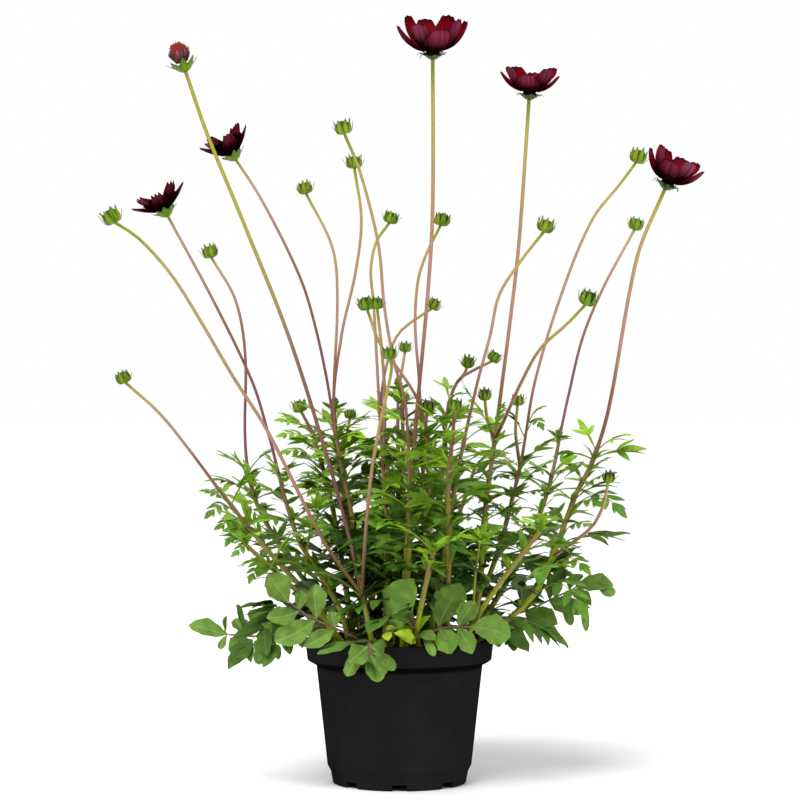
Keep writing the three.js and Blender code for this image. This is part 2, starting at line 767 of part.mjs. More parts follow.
    leaves: { low: 130, high: 262, pairs: 2, turn: 20, length: 54 },
    stalks: [
      { foot: [20, 29], head: 60,
        front: [[27, 164], [33, 246], [37, 267], [45, 280], [66, 291]], bears: bud(0.85) },
      { from: 276, head: 44, front: [[46, 282], [48, 287]], bears: bud(0.85) }
    ]
  },
  {
    leaves: { low: 120, high: 240, pairs: 2, turn: 50, length: 52 },
    stalks: [
      { foot: [32, -10], head: -110, front: [[33, 171], [32, 204], [36, 257]], bears: bud(0.8) }
    ]
  }
];

// The leafy shoots without a flower, each given by its foot and its tip.
const LEAFY_SHOOTS = [
  { foot: [-29, -22], tip: [-104, -60, 168], turn: 20 },
  { foot: [8, -30], tip: [22, -114, 166], turn: 60 },
  { foot: [36, -22], tip: [92, -98, 178], turn: 0 },
  { foot: [17, 40], tip: [56, 128, 214], turn: 35 },
  { foot: [-12, 37], tip: [-40, 138, 196], turn: 75 },
  { foot: [4, 8], tip: [2, 2, 262], turn: 15 }
];

// The broad leaves that rise from the soil and arch over the rim, each on a midrib through
// hand-set points. Each pair of leaflets stands at a part of the length; end is the last one.
const BASAL_LEAVES = [
  {
    name: 'basal_left', roll: -52, length: 120, endAt: 0.78, endWidths: [5.2, 4.6],
    route: [[-37, -2, 74], [-37, -2, 86], [-46, -7, 97], [-60, -14, 102.5], [-86, -19, 102],
      [-115, -21, 103], [-144, -20, 110]],
    pairs: [
      { at: 0.53, left: 19, right: 29, angle: 58, widths: [5.2, 5] },
      { at: 0.67, left: 16, right: 17, angle: 55, widths: [4.4, 4] }
    ]
  },
  {
    name: 'basal_left_front', roll: -68, length: 114, endAt: 0.79, endWidths: [7.4, 6],
    route: [[-22.3, -42, 74], [-22.3, -42, 86], [-24.3, -50, 97], [-30, -58, 105], [-46, -61, 112],
      [-58, -62, 118], [-72, -63, 127], [-88, -64, 147]],
    pairs: [
      { at: 0.46, left: 24, right: 13, angle: 55, widths: [4, 3.6] },
      { at: 0.58, left: 31, right: 26, angle: 60, widths: [5.8, 5.4] },
      { at: 0.7, left: 22, right: 15, angle: 58, widths: [4.2, 3.6] }
    ]
  },
  {
    name: 'basal_front', roll: 0, length: 74, endAt: 0.76, endWidths: [9.6, 7.4],
    route: [[-10.2, -43, 74], [-10.2, -43, 86], [-13.2, -52, 96], [-19, -62, 102.5], [-21, -70, 102],
      [-18, -76, 93], [-15, -78, 78]],
    pairs: [
      { at: 0.5, left: 10, right: 35, angle: 72, widths: [4.8, 4.4] },
      { at: 0.66, left: 13, right: 21, angle: 62, widths: [4.6, 4.6] }
    ]
  },
  {
    name: 'basal_yellow', roll: 38, length: 62, endAt: 0.76, endWidths: [4.2, 3.8], yellow: true,
    route: [[-3, -46, 74], [-3, -46, 86], [-8, -55, 100], [-13, -60, 107.5], [-6, -65, 109],
      [4, -68, 106], [11, -69, 103]],
    pairs: [{ at: 0.66, left: 7, right: 8, angle: 56, widths: [2.4, 2] }]
  },
  {
    name: 'basal_centre', roll: 74, length: 78, endAt: 0.46, endWidths: [10.8, 8.4],
    route: [[-5, -37, 74], [-5, -37, 86], [-4, -45, 95], [-3, -54, 107], [4, -60, 126], [12, -63, 144]],
    pairs: [{ at: 0.4, left: 15, right: 8, angle: 66, widths: [3.4, 3] }]
  },
  {
    name: 'basal_grey', roll: 25, length: 48, endAt: 0.72, endWidths: [4.4, 3.6],
    route: [[4, -44, 74], [4, -44, 86], [7.4, -54, 98.4], [12.2, -62.2, 105.4], [24, -69.4, 102.8]],
    pairs: [{ at: 0.62, left: 10, right: 12, angle: 58, widths: [3, 2.4] }]
  },
  {
    name: 'basal_right_front', roll: 74, length: 92, endAt: 0.7, endWidths: [7.6, 6.6],
    route: [[19, -46, 74], [19, -46, 86], [18, -52, 96], [17, -58, 106], [27, -61, 111],
      [39, -62, 112], [57, -62, 111], [75, -60, 106]],
    pairs: [
      { at: 0.46, left: 34, right: 19, angle: 66, widths: [6.6, 6.2] },
      { at: 0.6, left: 20, right: 20, angle: 60, widths: [4.8, 4.4] }
    ]
  },
  {
    name: 'basal_right_low', roll: 30, length: 62, endAt: 0.7, endWidths: [5.4, 4.4],
    route: [[46, -17, 74], [46, -17, 86], [50, -21, 96], [56, -27, 103], [66, -33, 105],
      [78, -38, 101], [88, -41, 95]],
    pairs: [{ at: 0.58, left: 14, right: 14, angle: 50, widths: [3.6, 3.2] }]
  },
  {
    name: 'basal_right', roll: 46, length: 122, endAt: 0.8, endWidths: [6, 5],
    route: [[40, 17, 74], [40, 17, 86], [48, 18, 98], [62, 18, 107], [92, 14, 118], [125, 8, 134],
      [148, 4, 136]],
    pairs: [
      { at: 0.5, left: 27, right: 26, angle: 52, widths: [5.8, 5] },
      { at: 0.64, left: 25, right: 28, angle: 55, widths: [5, 4.4] },
      { at: 0.76, left: 14, right: 22, angle: 50, widths: [3.6, 3.2] }
    ]
  }
];

// The broad leaves of the back, which the photograph hides: foot, and the way that each points.
const BACK_LEAVES = [
  { foot: [45, 24], azimuth: 20, reach: 62, lift: 0, seed: 61 },
  { foot: [8, 38], azimuth: 94, reach: 72, lift: 6, seed: 62 },
  { foot: [-21, 44], azimuth: 134, reach: 64, lift: 3, seed: 63 },
  { foot: [-40, 28], azimuth: 164, reach: 66, lift: 5, seed: 64 }
];

// A stalk's own curve. Side stalks set out from the shoot's first one.
function stalkCurve(given, first) {
  if (given.foot) {
    const [x, y] = given.foot;
    return new Stalk(new THREE.Vector3(x, y, STEM_START), given.head, given.front);
  }
  return new Stalk(first.at(given.from), given.head, given.front);
}

// How thick a stalk is at a height: stout in its leafy part, then slim up to its head.
function radiusRule(given, curve, leafTop) {
  const slim = given.bears && given.bears.kind !== 'bud' ? BLOOM_STALK_RADIUS : BUD_STALK_RADIUS;
  if (!given.foot) {
    return z => slim + 0.25 * (1 - (z - curve.bottom) / (curve.top - curve.bottom));
  }
  return z => {
    const part = Math.min((z - STEM_START) / (leafTop - STEM_START), 1);
    return LEAFY_RADIUS + (slim - LEAFY_RADIUS) * part;
  };
}

function headAxis(curve, bears) {
  if (bears.lean) {
    return new THREE.Vector3(bears.lean[0], bears.lean[1], 1).normalize();
  }
  return curve.directionAt(curve.top).add(UP).normalize();
}

// The leaves of a shoot: where each stands, and which way it would point before it is bent.
function leafSites(leaves) {
  const sites = [];
  for (let k = 0; k < leaves.pairs; k += 1) {
    const part = leaves.pairs > 1 ? k / (leaves.pairs - 1) : 0;
    for (const half of [0, 180]) {
      sites.push({
        z: leaves.low + (leaves.high - leaves.low) * part,
        azimuth: leaves.turn + 90 * k + half,
        length: leaves.length * (1.12 - 0.5 * part),
        broad: 1.25 - 0.45 * part
      });
    }
  }
  return sites;
}

// One of the ways in which a leaf may be bent to stay clear of what stands round it.
function leafChoice(site, seed, attempt) {
  const draw = seededDraws(seed * 16 + attempt);
  const wander = attempt === 0 ? 14 : 60;
  const azimuth = (site.azimuth + (draw() * 2 - 1) * wander) * DEGREE;
  const pitch = (22 + 34 * draw() + 2 * attempt) * DEGREE;
  const bend = (0.35 + 0.75 * draw()) * DEGREE;
  const length = site.length * (1.04 - 0.04 * attempt) * (0.9 + 0.2 * draw());
  const roll = (draw() - 0.5) * 36 * DEGREE;
  return { azimuth, pitch, bend, length, roll, broad: site.broad };
}

function shootLeafSheet({ length, broad }) {
  const width = 0.055 * length * broad;
  const lobes = (at, part, root) => (
    { at, left: part * length, right: part * length, root, angle: 44 * DEGREE, width }
  );
  const long = length > LONG_LEAF;
  return pinnateSheet({
    length,
    rows: 1,
    pairs: long ? [lobes(0.38, 0.34, 3.4), lobes(0.6, 0.26, 3)] : [lobes(0.42, 0.34, 3)],
    endAt: long ? 0.6 + 3 / length : 0.42 + 3 / length,
    endWidths: [0.085 * length * broad],
    fine: false
  });
}

// All solids so far, by node, with their boxes, so that a new leaf can be kept clear of them. A
// leaf also has the height that it leaves its stem at, because it may touch its own pair there.
const placed = [];

function place(name, manifold, z) {
  const { min, max } = manifold.boundingBox();
  placed.push({ name, manifold, min, max, z });
}

// Whether a new leaf of a shoot stays clear of all but the shoot's stems and the leaf's own pair.
function isClear(name, manifold, z) {
  const { min, max } = manifold.boundingBox();
  const near = other => [0, 1, 2].every(
    k => min[k] - LEAF_CLEARANCE < other.max[k] && other.min[k] < max[k] + LEAF_CLEARANCE
  );
  const joins = other => other.name === name && (other.z === z || other.z === STEM_HEIGHT);
  return placed.every(
    other => joins(other) || !near(other)
      || manifold.minGap(other.manifold, 2 * LEAF_CLEARANCE) > LEAF_CLEARANCE
  );
}

const model = new THREE.Group();

function addNode(name, manifold, material) {
  const mesh = new THREE.Mesh(geometryOf(manifold), material);
  mesh.name = name;
  model.add(mesh);
}

// Builds the stalks, buds and green cups of one shoot, and the blooms that it carries.
function shootFrame(shoot, name, holes) {
  const first = stalkCurve(shoot.stalks[0]);
  const pieces = [];
  for (const given of shoot.stalks) {
    const curve = given.foot ? first : stalkCurve(given, first);
    const radiusAt = radiusRule(given, curve, shoot.leaves.high + 25);
    const forks = given.foot ? [...new Set(shoot.stalks.slice(1).map(side => side.from))] : [];
    pieces.push(stemSolid(curve, radiusAt, given.foot ? STEM_DEPTH : 0, forks));
    if (given.foot) {
      holes.push(plainHole(given.foot[0], given.foot[1], LEAFY_RADIUS));
    }
    if (given.bears) {
      addHead(curve, given.bears, pieces);
    }
  }
  return { name, curve: first, leaves: shoot.leaves, body: joined(pieces) };
}

function addHead(curve, bears, pieces) {
  const base = curve.at(curve.top);
  const axis = headAxis(curve, bears);
  if (bears.kind === 'bud') {
    pieces.push(budSolid(base, axis, bears.size));
    return;
  }
  pieces.push(calyxSolid(base, axis, bears.size));
  if (bears.kind === 'bloom') {
    const disc = domeSolid(base, axis, PETAL_SEAT + 2.9, 3.6, 3.4, 10);
    addPart(`${bears.name}_petals`, petalsSolid(base, axis, bears), COLOURS.petal);
    addPart(`${bears.name}_disc`, disc, COLOURS.disc);
  } else {
    addPart('spent_head', spentSolid(base, axis), COLOURS.spent);
  }
}

function addPart(name, manifold, material) {
  place(name, manifold);
  addNode(name, manifold, material);
}

// The spent head: a dome of florets over a cup of withered ones that stand up round it.
function spentSolid(base, axis) {
  const pieces = [domeSolid(base, axis, 10.5, 6, 8.5, 12)];
  const up = height => base.clone().addScaledVector(axis, height);
  const collar = (centre, radius) => ring(centre, axis, WITHERED_COUNT, () => radius);
  pieces.push(skin([collar(up(6), 4.4), collar(up(11.5), 5)], up(6), up(11.5)));
  for (let k = 0; k < WITHERED_COUNT; k += 1) {
    const out = outFrom(axis, (2 * Math.PI * k) / WITHERED_COUNT);
    const root = up(7.6).addScaledVector(out, 3);
    const tip = up(k % 2 ? 14 : 12).addScaledVector(out, 7.6);
    const along = tip.clone().sub(root).normalize();
    pieces.push(skin([ring(root.clone().lerp(tip, 0.5), along, 3, () => 1.7)], root, tip));
  }
  return joined(pieces);
}

function addShootLeaves(frame, number) {
  let body = frame.body;
  leafSites(frame.leaves).forEach((site, k) => {
    const start = frame.curve.at(Math.min(site.z, frame.curve.top - 1));
    for (let attempt = 0; attempt < LEAF_TRIES; attempt += 1) {
      const choice = leafChoice(site, number * 20 + k, attempt);
      const rib = archedRib(start, choice.azimuth, choice.pitch, choice.bend);
      const leaf = leafSolid(shootLeafSheet(choice), rib, choice.roll, 0.14, BLADE);
      if (isClear(frame.name, leaf, site.z)) {
        place(frame.name, leaf, site.z);
        body = body.add(leaf);
        break;
      }
    }
  });
  return body;
}

function leafyShoot({ foot, tip, turn }) {
  const [x, y, z] = tip;
  const low = SOIL_TOP + 0.3 * (z - SOIL_TOP);
  const middle = [foot[0] + 0.42 * (x - foot[0]), SOIL_TOP + 0.5 * (z - SOIL_TOP)];
  return {
    leaves: { low, high: z - 2, pairs: 2, turn, length: 58 },
    stalks: [{ foot, head: y, front: [middle, [x, z]] }]
  };
}

function backLeaf({ foot, azimuth, reach, lift, seed }) {
  const draw = seededDraws(seed);
  const out = [Math.cos(azimuth * DEGREE), Math.sin(azimuth * DEGREE)];
  const at = (run, z) => [foot[0] + out[0] * run, foot[1] + out[1] * run, z];
  return {
    name: `basal_back_${seed - BACK_LEAVES[0].seed + 1}`,
    roll: (draw() - 0.5) * 30, length: reach + 32, endAt: 0.72, endWidths: [7, 5.6],
    route: [at(0, 74), at(0, 86), at(5, 97), at(18, 106 + lift), at(0.65 * reach, 108 + lift),
      at(reach, 94 + 2 * lift)],
    pairs: [
      { at: 0.5, left: 24, right: 26, angle: 56, widths: [5.4, 4.8] },
      { at: 0.64, left: 19, right: 18, angle: 52, widths: [4.6, 4] }
    ]
  };
}

function basalParts(leaf) {
  const pairs = leaf.pairs.map(pair => (
    { ...pair, angle: pair.angle * DEGREE, root: Math.max(0.7 * pair.widths[0], 1.6) }
  ));
  const sheet = pinnateSheet({ ...leaf, pairs, rows: 6, fine: true });
  const rib = routedRib(leaf.route, leaf.length);
  const body = leafSolid(sheet, rib, leaf.roll * DEGREE, 0.1, BLADE);
  return { body, hole: plainHole(leaf.route[0][0], leaf.route[0][1], RACHIS_HALF_WIDTH) };
}

// A square hole in the soil, wide enough for a stem that begins to lean in it.
function plainHole(x, y, radius) {
  const side = 2 * (radius + HOLE_GAP);
  const hole = new THREE.BoxGeometry(side, side, 2 * HOLE_DEPTH);
  hole.translate(x, y, SOIL_TOP);
  return solidOf(hole);
}

const holes = [];
const shoots = [...FLOWERING_SHOOTS, ...LEAFY_SHOOTS.map(leafyShoot)];
const frames = shoots.map((shoot, k) => shootFrame(shoot, `shoot_${k + 1}`, holes));
frames.forEach(frame => place(frame.name, frame.body, STEM_HEIGHT));
for (const leaf of [...BASAL_LEAVES, ...BACK_LEAVES.map(backLeaf)]) {
  const { body, hole } = basalParts(leaf);
  holes.push(hole);
  addPart(leaf.name, body, leaf.yellow ? COLOURS.yellow : COLOURS.basal);
}
addPart('pot', potSolid(), COLOURS.pot);
addPart('soil', soilSolid(holes), COLOURS.soil);
frames.forEach((frame, k) => addNode(frame.name, addShootLeaves(frame, k + 1), COLOURS.shoot));

export default model;
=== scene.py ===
"""Looks of the potted chocolate flower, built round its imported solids.

Sizes are millimetres. Angles are degrees where DEGREE multiplies them, and radians elsewhere.
"""

import math

import bpy
import numpy as np
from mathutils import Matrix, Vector


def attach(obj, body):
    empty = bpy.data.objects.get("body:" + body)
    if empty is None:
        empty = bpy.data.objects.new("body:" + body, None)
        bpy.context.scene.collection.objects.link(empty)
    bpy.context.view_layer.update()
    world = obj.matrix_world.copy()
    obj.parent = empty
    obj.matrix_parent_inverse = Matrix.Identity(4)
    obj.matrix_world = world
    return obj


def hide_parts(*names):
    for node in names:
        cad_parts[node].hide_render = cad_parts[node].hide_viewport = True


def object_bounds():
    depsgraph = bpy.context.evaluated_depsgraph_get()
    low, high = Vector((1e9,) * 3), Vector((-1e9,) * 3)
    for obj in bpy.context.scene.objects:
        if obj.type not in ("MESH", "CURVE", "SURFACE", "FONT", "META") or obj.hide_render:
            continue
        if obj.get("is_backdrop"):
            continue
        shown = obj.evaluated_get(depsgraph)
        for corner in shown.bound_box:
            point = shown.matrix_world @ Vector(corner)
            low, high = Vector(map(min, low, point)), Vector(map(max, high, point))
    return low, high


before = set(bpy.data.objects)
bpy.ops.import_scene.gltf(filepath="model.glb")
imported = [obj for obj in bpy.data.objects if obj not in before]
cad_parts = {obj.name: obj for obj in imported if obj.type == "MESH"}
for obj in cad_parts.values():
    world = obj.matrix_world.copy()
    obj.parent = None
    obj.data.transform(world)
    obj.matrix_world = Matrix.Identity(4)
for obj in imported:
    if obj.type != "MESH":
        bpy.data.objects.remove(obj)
cad_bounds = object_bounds()

MM = 0.001
DEGREE = math.pi / 180
SHARP_ANGLE = 75
UP = np.array([0.0, 0.0, 1.0])
AWAY = np.array([0.0, 1.0, 0.0])

# The camera stands level in front of the pot. At the pot's middle it sees VIEW_WIDTH across.
CAMERA_DISTANCE = 1800
CAMERA_HEIGHT = 263.3
VIEW_WIDTH = 552.3
PHOTO_WIDTH_PX = 800
POT_AXIS_LEFT_OF_MIDDLE_PX = 0.5
CLIP_START = 50

# The pot and its soil.
RIM_RADIUS = 65
POT_HEIGHT = 99
WALL = 1.4
COLLAR_RADIUS = 63.5
COLLAR_BOTTOM = 84.2
BODY_TOP_RADIUS = 57.3
BODY_TOP = 80.8
BODY_BOTTOM_RADIUS = 49.7
BODY_BOTTOM = 12.5
FOOT_RADIUS = 46
FOOT_EDGE = 0.6
FOOT_BAND_TOP = 8
FOOT_BAND_RADIUS = 47.6
FOOT_RING_INNER = 41.5
HUB_RADIUS = 13
BASE_RAISE = 4.2
BASE_THICKNESS = 1.6
POT_SEGMENTS = 112
NOTCH_COUNT = 8
NOTCH_WIDTH = 10
NOTCH_DEPTH = 10
NOTCH_HEIGHT = 4
DRAIN_COUNT = 4
DRAIN_RADIUS = 4
DRAIN_CIRCLE = 28
DRAIN_CUT = (1, 9)
POT_SHARP_ANGLE = 50
SOIL_TOP = 84
SOIL_DOME = 1.6

# The plant. These repeat the solids' own rules, so that each fine piece lies where its solid is.
STEM_START = SOIL_TOP + SOIL_DOME
STEM_DEPTH = 12
LEAFY_RADIUS = 2.1
LEAFY_MARGIN = 25
BLOOM_STALK_RADIUS = 1.2
BUD_STALK_RADIUS = 0.95
LEAF_TRIES = 9
FIRST_WANDER = 14
LATER_WANDER = 60
LONG_LEAF = 56
LEAFY_SHOOT_LEAF = 58
LEAF_DROOP = 0.14
UPRIGHT_FOOT = 24
RACHIS_HALF_WIDTH = 0.8
BASAL_DROOP = 0.1
BROAD_FOOT_HEIGHTS = (74, 86)
LOBE_ANGLE = 44 * DEGREE
TIP_MISS = 0.9
DEPTH_LEAD = 0.25
LONG_LEAF_PAIRS = [(0.38, 0.34, 3.4), (0.6, 0.26, 3)]
SHORT_LEAF_PAIRS = [(0.42, 0.34, 3)]
PETAL_COUNT = 8
PETAL_SEAT = 4
PETAL_RING = 4.6
PETAL_ROOT = 1.6
PETAL_BROADEST = 0.6
INNER_LIFT = 1.3
INNER_PITCH = 9

# What only the fine pieces have.
LOWEST_LEAF = 95
FRONT_LOWEST_LEAF = 145
FRONT_FOOT_DEPTH = 20
LEAF_STEP = 14
LEAF_CLEARANCE = 5
EXTRA_LEAF_LOW = 56
EXTRA_LEAF_HIGH = 36
LEAFLET_HALF = 0.042
END_LEAFLET_HALF = 0.095
POINTED_LEAF = (0.6, 0.9)
ROUNDED_LEAF = (1.15, 0.85)
LOBED_LEAF = (1.3, 0.55)
PLACED_PAIRS = ((0.36, 0.32), (0.56, 0.26), (0.74, 0.17))
LEAF_TIP = 0.12
LEAF_THICKNESS = 0.4
TOOTHED_LEAF = 4.6
SHORT_LEAFLET = 22
NARROW_LEAFLET = 3.4
LEAFLET_ROWS = 14
LEAFLET_COLUMNS = 5
SMALL_LEAFLET_ROWS = 8
SMALL_LEAFLET_COLUMNS = 3
TOOTH_DEPTH = 0.08
LEAF_WAVE = 0.1
LEAF_FOLD = 0.1
# Painted shade: a leaf's underside is painted this much darker than its top.
UNDERSIDE_SHADE = 0.85
BROAD_LEAF_GAIN = 1.32
BROAD_LEAF_FOLD = 0.45
HANGING_FOLD = 0.22
TUFT_LEAVES = 4
TUFT_LENGTH = 19
TIP_LEAVES = 7
WHORL_LEAVES = 11
WHORL_LENGTH = 16
STEM_SIDES = 8
STEM_STEP = 5
STEM_RIBS = 0.05
RACHIS_SIDES = 5
NODE_SWELLING = 0.4
NODE_REACH = 2.5
PETAL_NOTCH = 0.028
PETAL_THICKNESS = 0.5
PETAL_PLEAT = 0.22
PETAL_TAPER = 0.24
PETAL_ROWS = 17
PETAL_COLUMNS = 19
CLAW_REACH = 0.42
SCALE_THICKNESS = 0.35
BRACT_THICKNESS = 0.3
SCALE_COUNT = 8
BRACT_COUNT = 5
DISC_RADIUS = 3.7
FLORET_COUNT = 70
SPENT_FLORETS = 120
SPENT_PITCH = 32
SPENT_SPAN = 1.75
WITHERED_COUNT = 13
WITHERED_THICKNESS = 0.5
GOLDEN_TURN = 2.39996
SOIL_RADIUS = 55.2
SOIL_UNDERSIDE_RADIUS = 52.6
SOIL_UNDERSIDE = 60
SOIL_RINGS = 34
SOIL_SEGMENTS = 120
CRUMB_COUNT = 420
PALE_CRUMBS_FROM = 0.93
# Painted shade: how dark the band in the step under the pot's collar is painted.
COLLAR_SHADE = 0.25
RED_SHOOTS = (4, 5, 7, 18)
LIME_SHOOTS = (6,)

# Where each kind of piece starts in the draws, so that one can change without the others.
SOIL_SEED = 5
BACK_SEED = 60
SPENT_SEED = 77
STEM_SEED = 300
BROAD_SEED = 400
FOLD_SEED = 500
HEAD_SEED = 600
EXTRA_SEED = 900
BROAD_LEAF_SEED = 2000
PLACED_SEED = 5000
WHORL_SEED = 6000
WHORL_STEM_SEED = 6500
TUFT_SEED = 7000
TIP_SEED = 8000

# The row of whole numbers that the draws come from.
SEED_FACTOR = 2654435761
DRAW_FACTOR = 1664525
DRAW_STEP = 1013904223
DRAW_RANGE = 2 ** 32

# The studio's light, and how far the floor reaches each way, in metres.
WORLD_SEEN = 1.0
WORLD_LIGHT = 0.3
SUN_STRENGTH = 3.3
SUN_SPREAD = 38
SUN_TILT = (38, 0, -28)
FILL_LIGHT = {"place": (1.5, -1.3, 1.0), "target": (0, 0, 0.25), "width": 1.4, "power": 16}
BACK_LIGHT = {"place": (0.4, 1.7, 1.9), "target": (0, 0, 0.3), "width": 1.2, "power": 20}
FLOOR_HALF = 30
FLOOR_DROP_MM = 0.3

# Slots of the pieces: stems, leaves and buds; a petal's two faces; florets.
STEM, LEAF, BUD = range(3)
INSIDE, OUTSIDE = range(2)
FLORET = 0


def seeded_draws(seed):
    """A row of numbers from 0 to 1 that is the same each time for the same seed."""
    state = (seed + 17) * SEED_FACTOR % DRAW_RANGE

    def draw():
        nonlocal state
        state = (state * DRAW_FACTOR + DRAW_STEP) % DRAW_RANGE
        return state / DRAW_RANGE
    return draw


def colour(code):
    """The linear colour of a hexadecimal screen colour."""
    screen = np.array([int(code[k:k + 2], 16) / 255 for k in (0, 2, 4)])
    return np.where(screen <= 0.04045, screen / 12.92, ((screen + 0.055) / 1.055) ** 2.4)


LIME = colour("7e8a14")
STRAW = colour("a69048")
TAN = colour("a07c58")
PINK = colour("b07e6e")
BROWN = colour("82533a")
PURPLE = colour("704048")
OLIVE = colour("84900a")
YOUNG_LEAF = colour("82b01c")
MID_LEAF = colour("5c860c")
DARK_LEAF = colour("2c4a06")
GREY_LEAF = colour("5c8a32")
BASAL_LIGHT = colour("6e9238")
BASAL_DARK = colour("3e661e")
YELLOW_LEAF = colour("9cb81c")
RACHIS = colour("6f5a48")
SCALE_GREEN = colour("5a8806")
SCALE_DARK = colour("222c16")
PETAL_RED = colour("6c000e")
PETAL_WINE = colour("56020f")
PETAL_DARK = colour("240208")
PETAL_BLACK = colour("060102")
# Painted sheen: the mauve of the highlights painted on the petals' outsides and on the spent head's
# withered petals.
PETAL_SHEEN_MAUVE = colour("8a4862")
FLORET_DARK = colour("2c0b10")
ANTHER = colour("b98a3c")
SPENT_RED = colour("b03412")
SPENT_PURPLE = colour("3a2230")
VEIN_PALE = colour("a8b878")
SOIL_BROWN = colour("3a2a1e")
SOIL_PALE = colour("a58f70")
POT_BLACK = colour("131313")
POT_GREY = colour("262626")
POT_DUST = colour("262422")
FLOOR_WHITE = colour("fbfbfb")


def mixed(low, high, part):
    return low + (high - low) * part


def unit(vector):
    return vector / np.linalg.norm(vector, axis=-1, keepdims=True)


def blended(stops, colours, at):
    """The colour at a place between stops, for one place or rows of them."""
    rows = np.array(colours)
    return np.stack([np.interp(at, stops, rows[:, k]) for k in range(3)], axis=-1)


# Colours at stops down a bare stem, through a leaf's age, along a petal and out over the spent head.
GOLD = mixed(LIME, STRAW, 0.35) * 1.15
BARE_STEM = {
    "plain": (
        [0, 0.04, 0.12, 0.45, 0.7, 0.9, 1.1],
        [LIME, LIME, STRAW, TAN, PINK * 0.85, BROWN, mixed(BROWN, PURPLE, 0.6)],
    ),
    "red": ([0, 0.05, 0.14, 0.45, 0.8], [LIME, STRAW, PINK, BROWN, PURPLE]),
    "lime": ([0, 0.3, 0.45, 0.6, 0.85], [GOLD, GOLD, STRAW * 0.8, BROWN, PURPLE]),
}
LEAF_AGES = ([0, 0.4, 0.75, 1], [YOUNG_LEAF, MID_LEAF, GREY_LEAF, DARK_LEAF])
PETAL_INSIDE = (
    [0, 0.2, 0.55, 0.85, 1],
    [PETAL_BLACK, PETAL_DARK, PETAL_RED, PETAL_RED * 1.2, PETAL_DARK],
)
PETAL_OUTSIDE = (
    [0, 0.25, 0.55, 0.8, 0.94, 1],
    [PETAL_BLACK, PETAL_BLACK * 2, PETAL_DARK, PETAL_WINE, PETAL_WINE, PETAL_DARK],
)
SPENT_TONES = ([0, 0.5, 1], [SPENT_RED, SPENT_RED * 0.6, SPENT_PURPLE])


def sized(profile, size):
    """A profile of (radius, height) pairs at another size."""
    return [(radius * size, height * size) for radius, height in profile]


def linked(name, data):
    """A new object in the scene."""
    piece = bpy.data.objects.new(name, data)
    bpy.context.scene.collection.objects.link(piece)
    return piece


# Mesh making. A Form gathers points and faces; each point has a tint, and a place on its leaf.
class Form:
    def __init__(self):
        self.points = []
        self.tints = []
        self.places = []
        self.faces = []
        self.slots = []
        self.count = 0

    def add(self, points, faces, tint, place, slot):
        """Adds points (n, 3) and faces. tint and place are one value or one a point."""
        self.points.append(points)
        self.tints.append(np.broadcast_to(tint, points.shape))
        self.places.append(np.broadcast_to(place, points.shape))
        self.faces.extend((np.asarray(faces) + self.count).tolist())
        self.slots.extend([slot] * len(faces) if np.isscalar(slot) else slot)
        self.count += len(points)

    def cap(self, base, sides, slot):
        """Closes both ends of the tube that starts at a point number and ends at the last one."""
        self.faces.extend([
            list(range(base, base + sides))[::-1],
            list(range(self.count - sides, self.count)),
        ])
        self.slots.extend([slot, slot])

    def piece(self, name, materials):
        """The form as an object, smooth but for its sharp edges."""
        mesh = bpy.data.meshes.new(name)
        points = np.concatenate(self.points)
        mesh.from_pydata((points * MM).tolist(), [], self.faces)
        tint = mesh.attributes.new("tint", "FLOAT_COLOR", "POINT")
        tints = np.concatenate([np.concatenate(self.tints), np.ones((len(points), 1))], axis=1)
        tint.data.foreach_set("color", tints.astype(np.float32).ravel())
        place = mesh.attributes.new("place", "FLOAT_VECTOR", "POINT")
        place.data.foreach_set("vector", np.concatenate(self.places).astype(np.float32).ravel())
        mesh.polygons.foreach_set("material_index", self.slots)
        mesh.polygons.foreach_set("use_smooth", [True] * len(self.faces))
        mesh.set_sharp_from_angle(angle=SHARP_ANGLE * DEGREE)
        for material in materials:
            mesh.materials.append(material)
        return linked(name, mesh)


def grid_faces(index):
    """The four-sided faces of a grid of point numbers."""
    corners = (index[:-1, :-1], index[1:, :-1], index[1:, 1:], index[:-1, 1:])
    return np.stack([c.ravel() for c in corners], axis=1)


def tube_faces(rings, sides):
    """The faces of a tube of rings, wound so that they face out."""
    index = np.arange(rings * sides).reshape(rings, sides)
    return grid_faces(np.concatenate([index, index[:, :1]], axis=1))[:, ::-1]


def add_lens(form, grid, normals, thickness, tints, places, slots):
    """A closed thin blade from a grid of points (rows, columns, 3), thickest in its middle.

    tints and slots are pairs, for the face that the normals leave and for the other one.
    """
    rows, columns = grid.shape[:2]
    inside = np.zeros((rows, columns), bool)
    inside[1:-1, 1:-1] = True
    flat = grid.reshape(-1, 3)
    lift = (normals * thickness / 2).reshape(-1, 3)
    mask = inside.ravel()
    above = flat + lift * mask[:, None]
    below = (flat - lift)[mask]
    top = np.arange(rows * columns).reshape(rows, columns)
    bottom = top.copy()
    bottom[inside] = rows * columns + np.arange(mask.sum())
    place = places.reshape(-1, 3)
    faces_above = grid_faces(top)
    faces_below = grid_faces(bottom)[:, ::-1]
    tint_above = np.broadcast_to(tints[0], grid.shape).reshape(-1, 3)
    tint_below = np.broadcast_to(tints[1], grid.shape).reshape(-1, 3)[mask]
    form.add(
        np.concatenate([above, below]), np.concatenate([faces_above, faces_below]),
        np.concatenate([tint_above, tint_below]), np.concatenate([place, place[mask]]),
        [slots[0]] * len(faces_above) + [slots[1]] * len(faces_below),
    )


def directions_along(path):
    return unit(np.gradient(path, axis=0))


def lengths_along(path):
    return np.concatenate([[0], np.cumsum(np.linalg.norm(np.diff(path, axis=0), axis=1))])


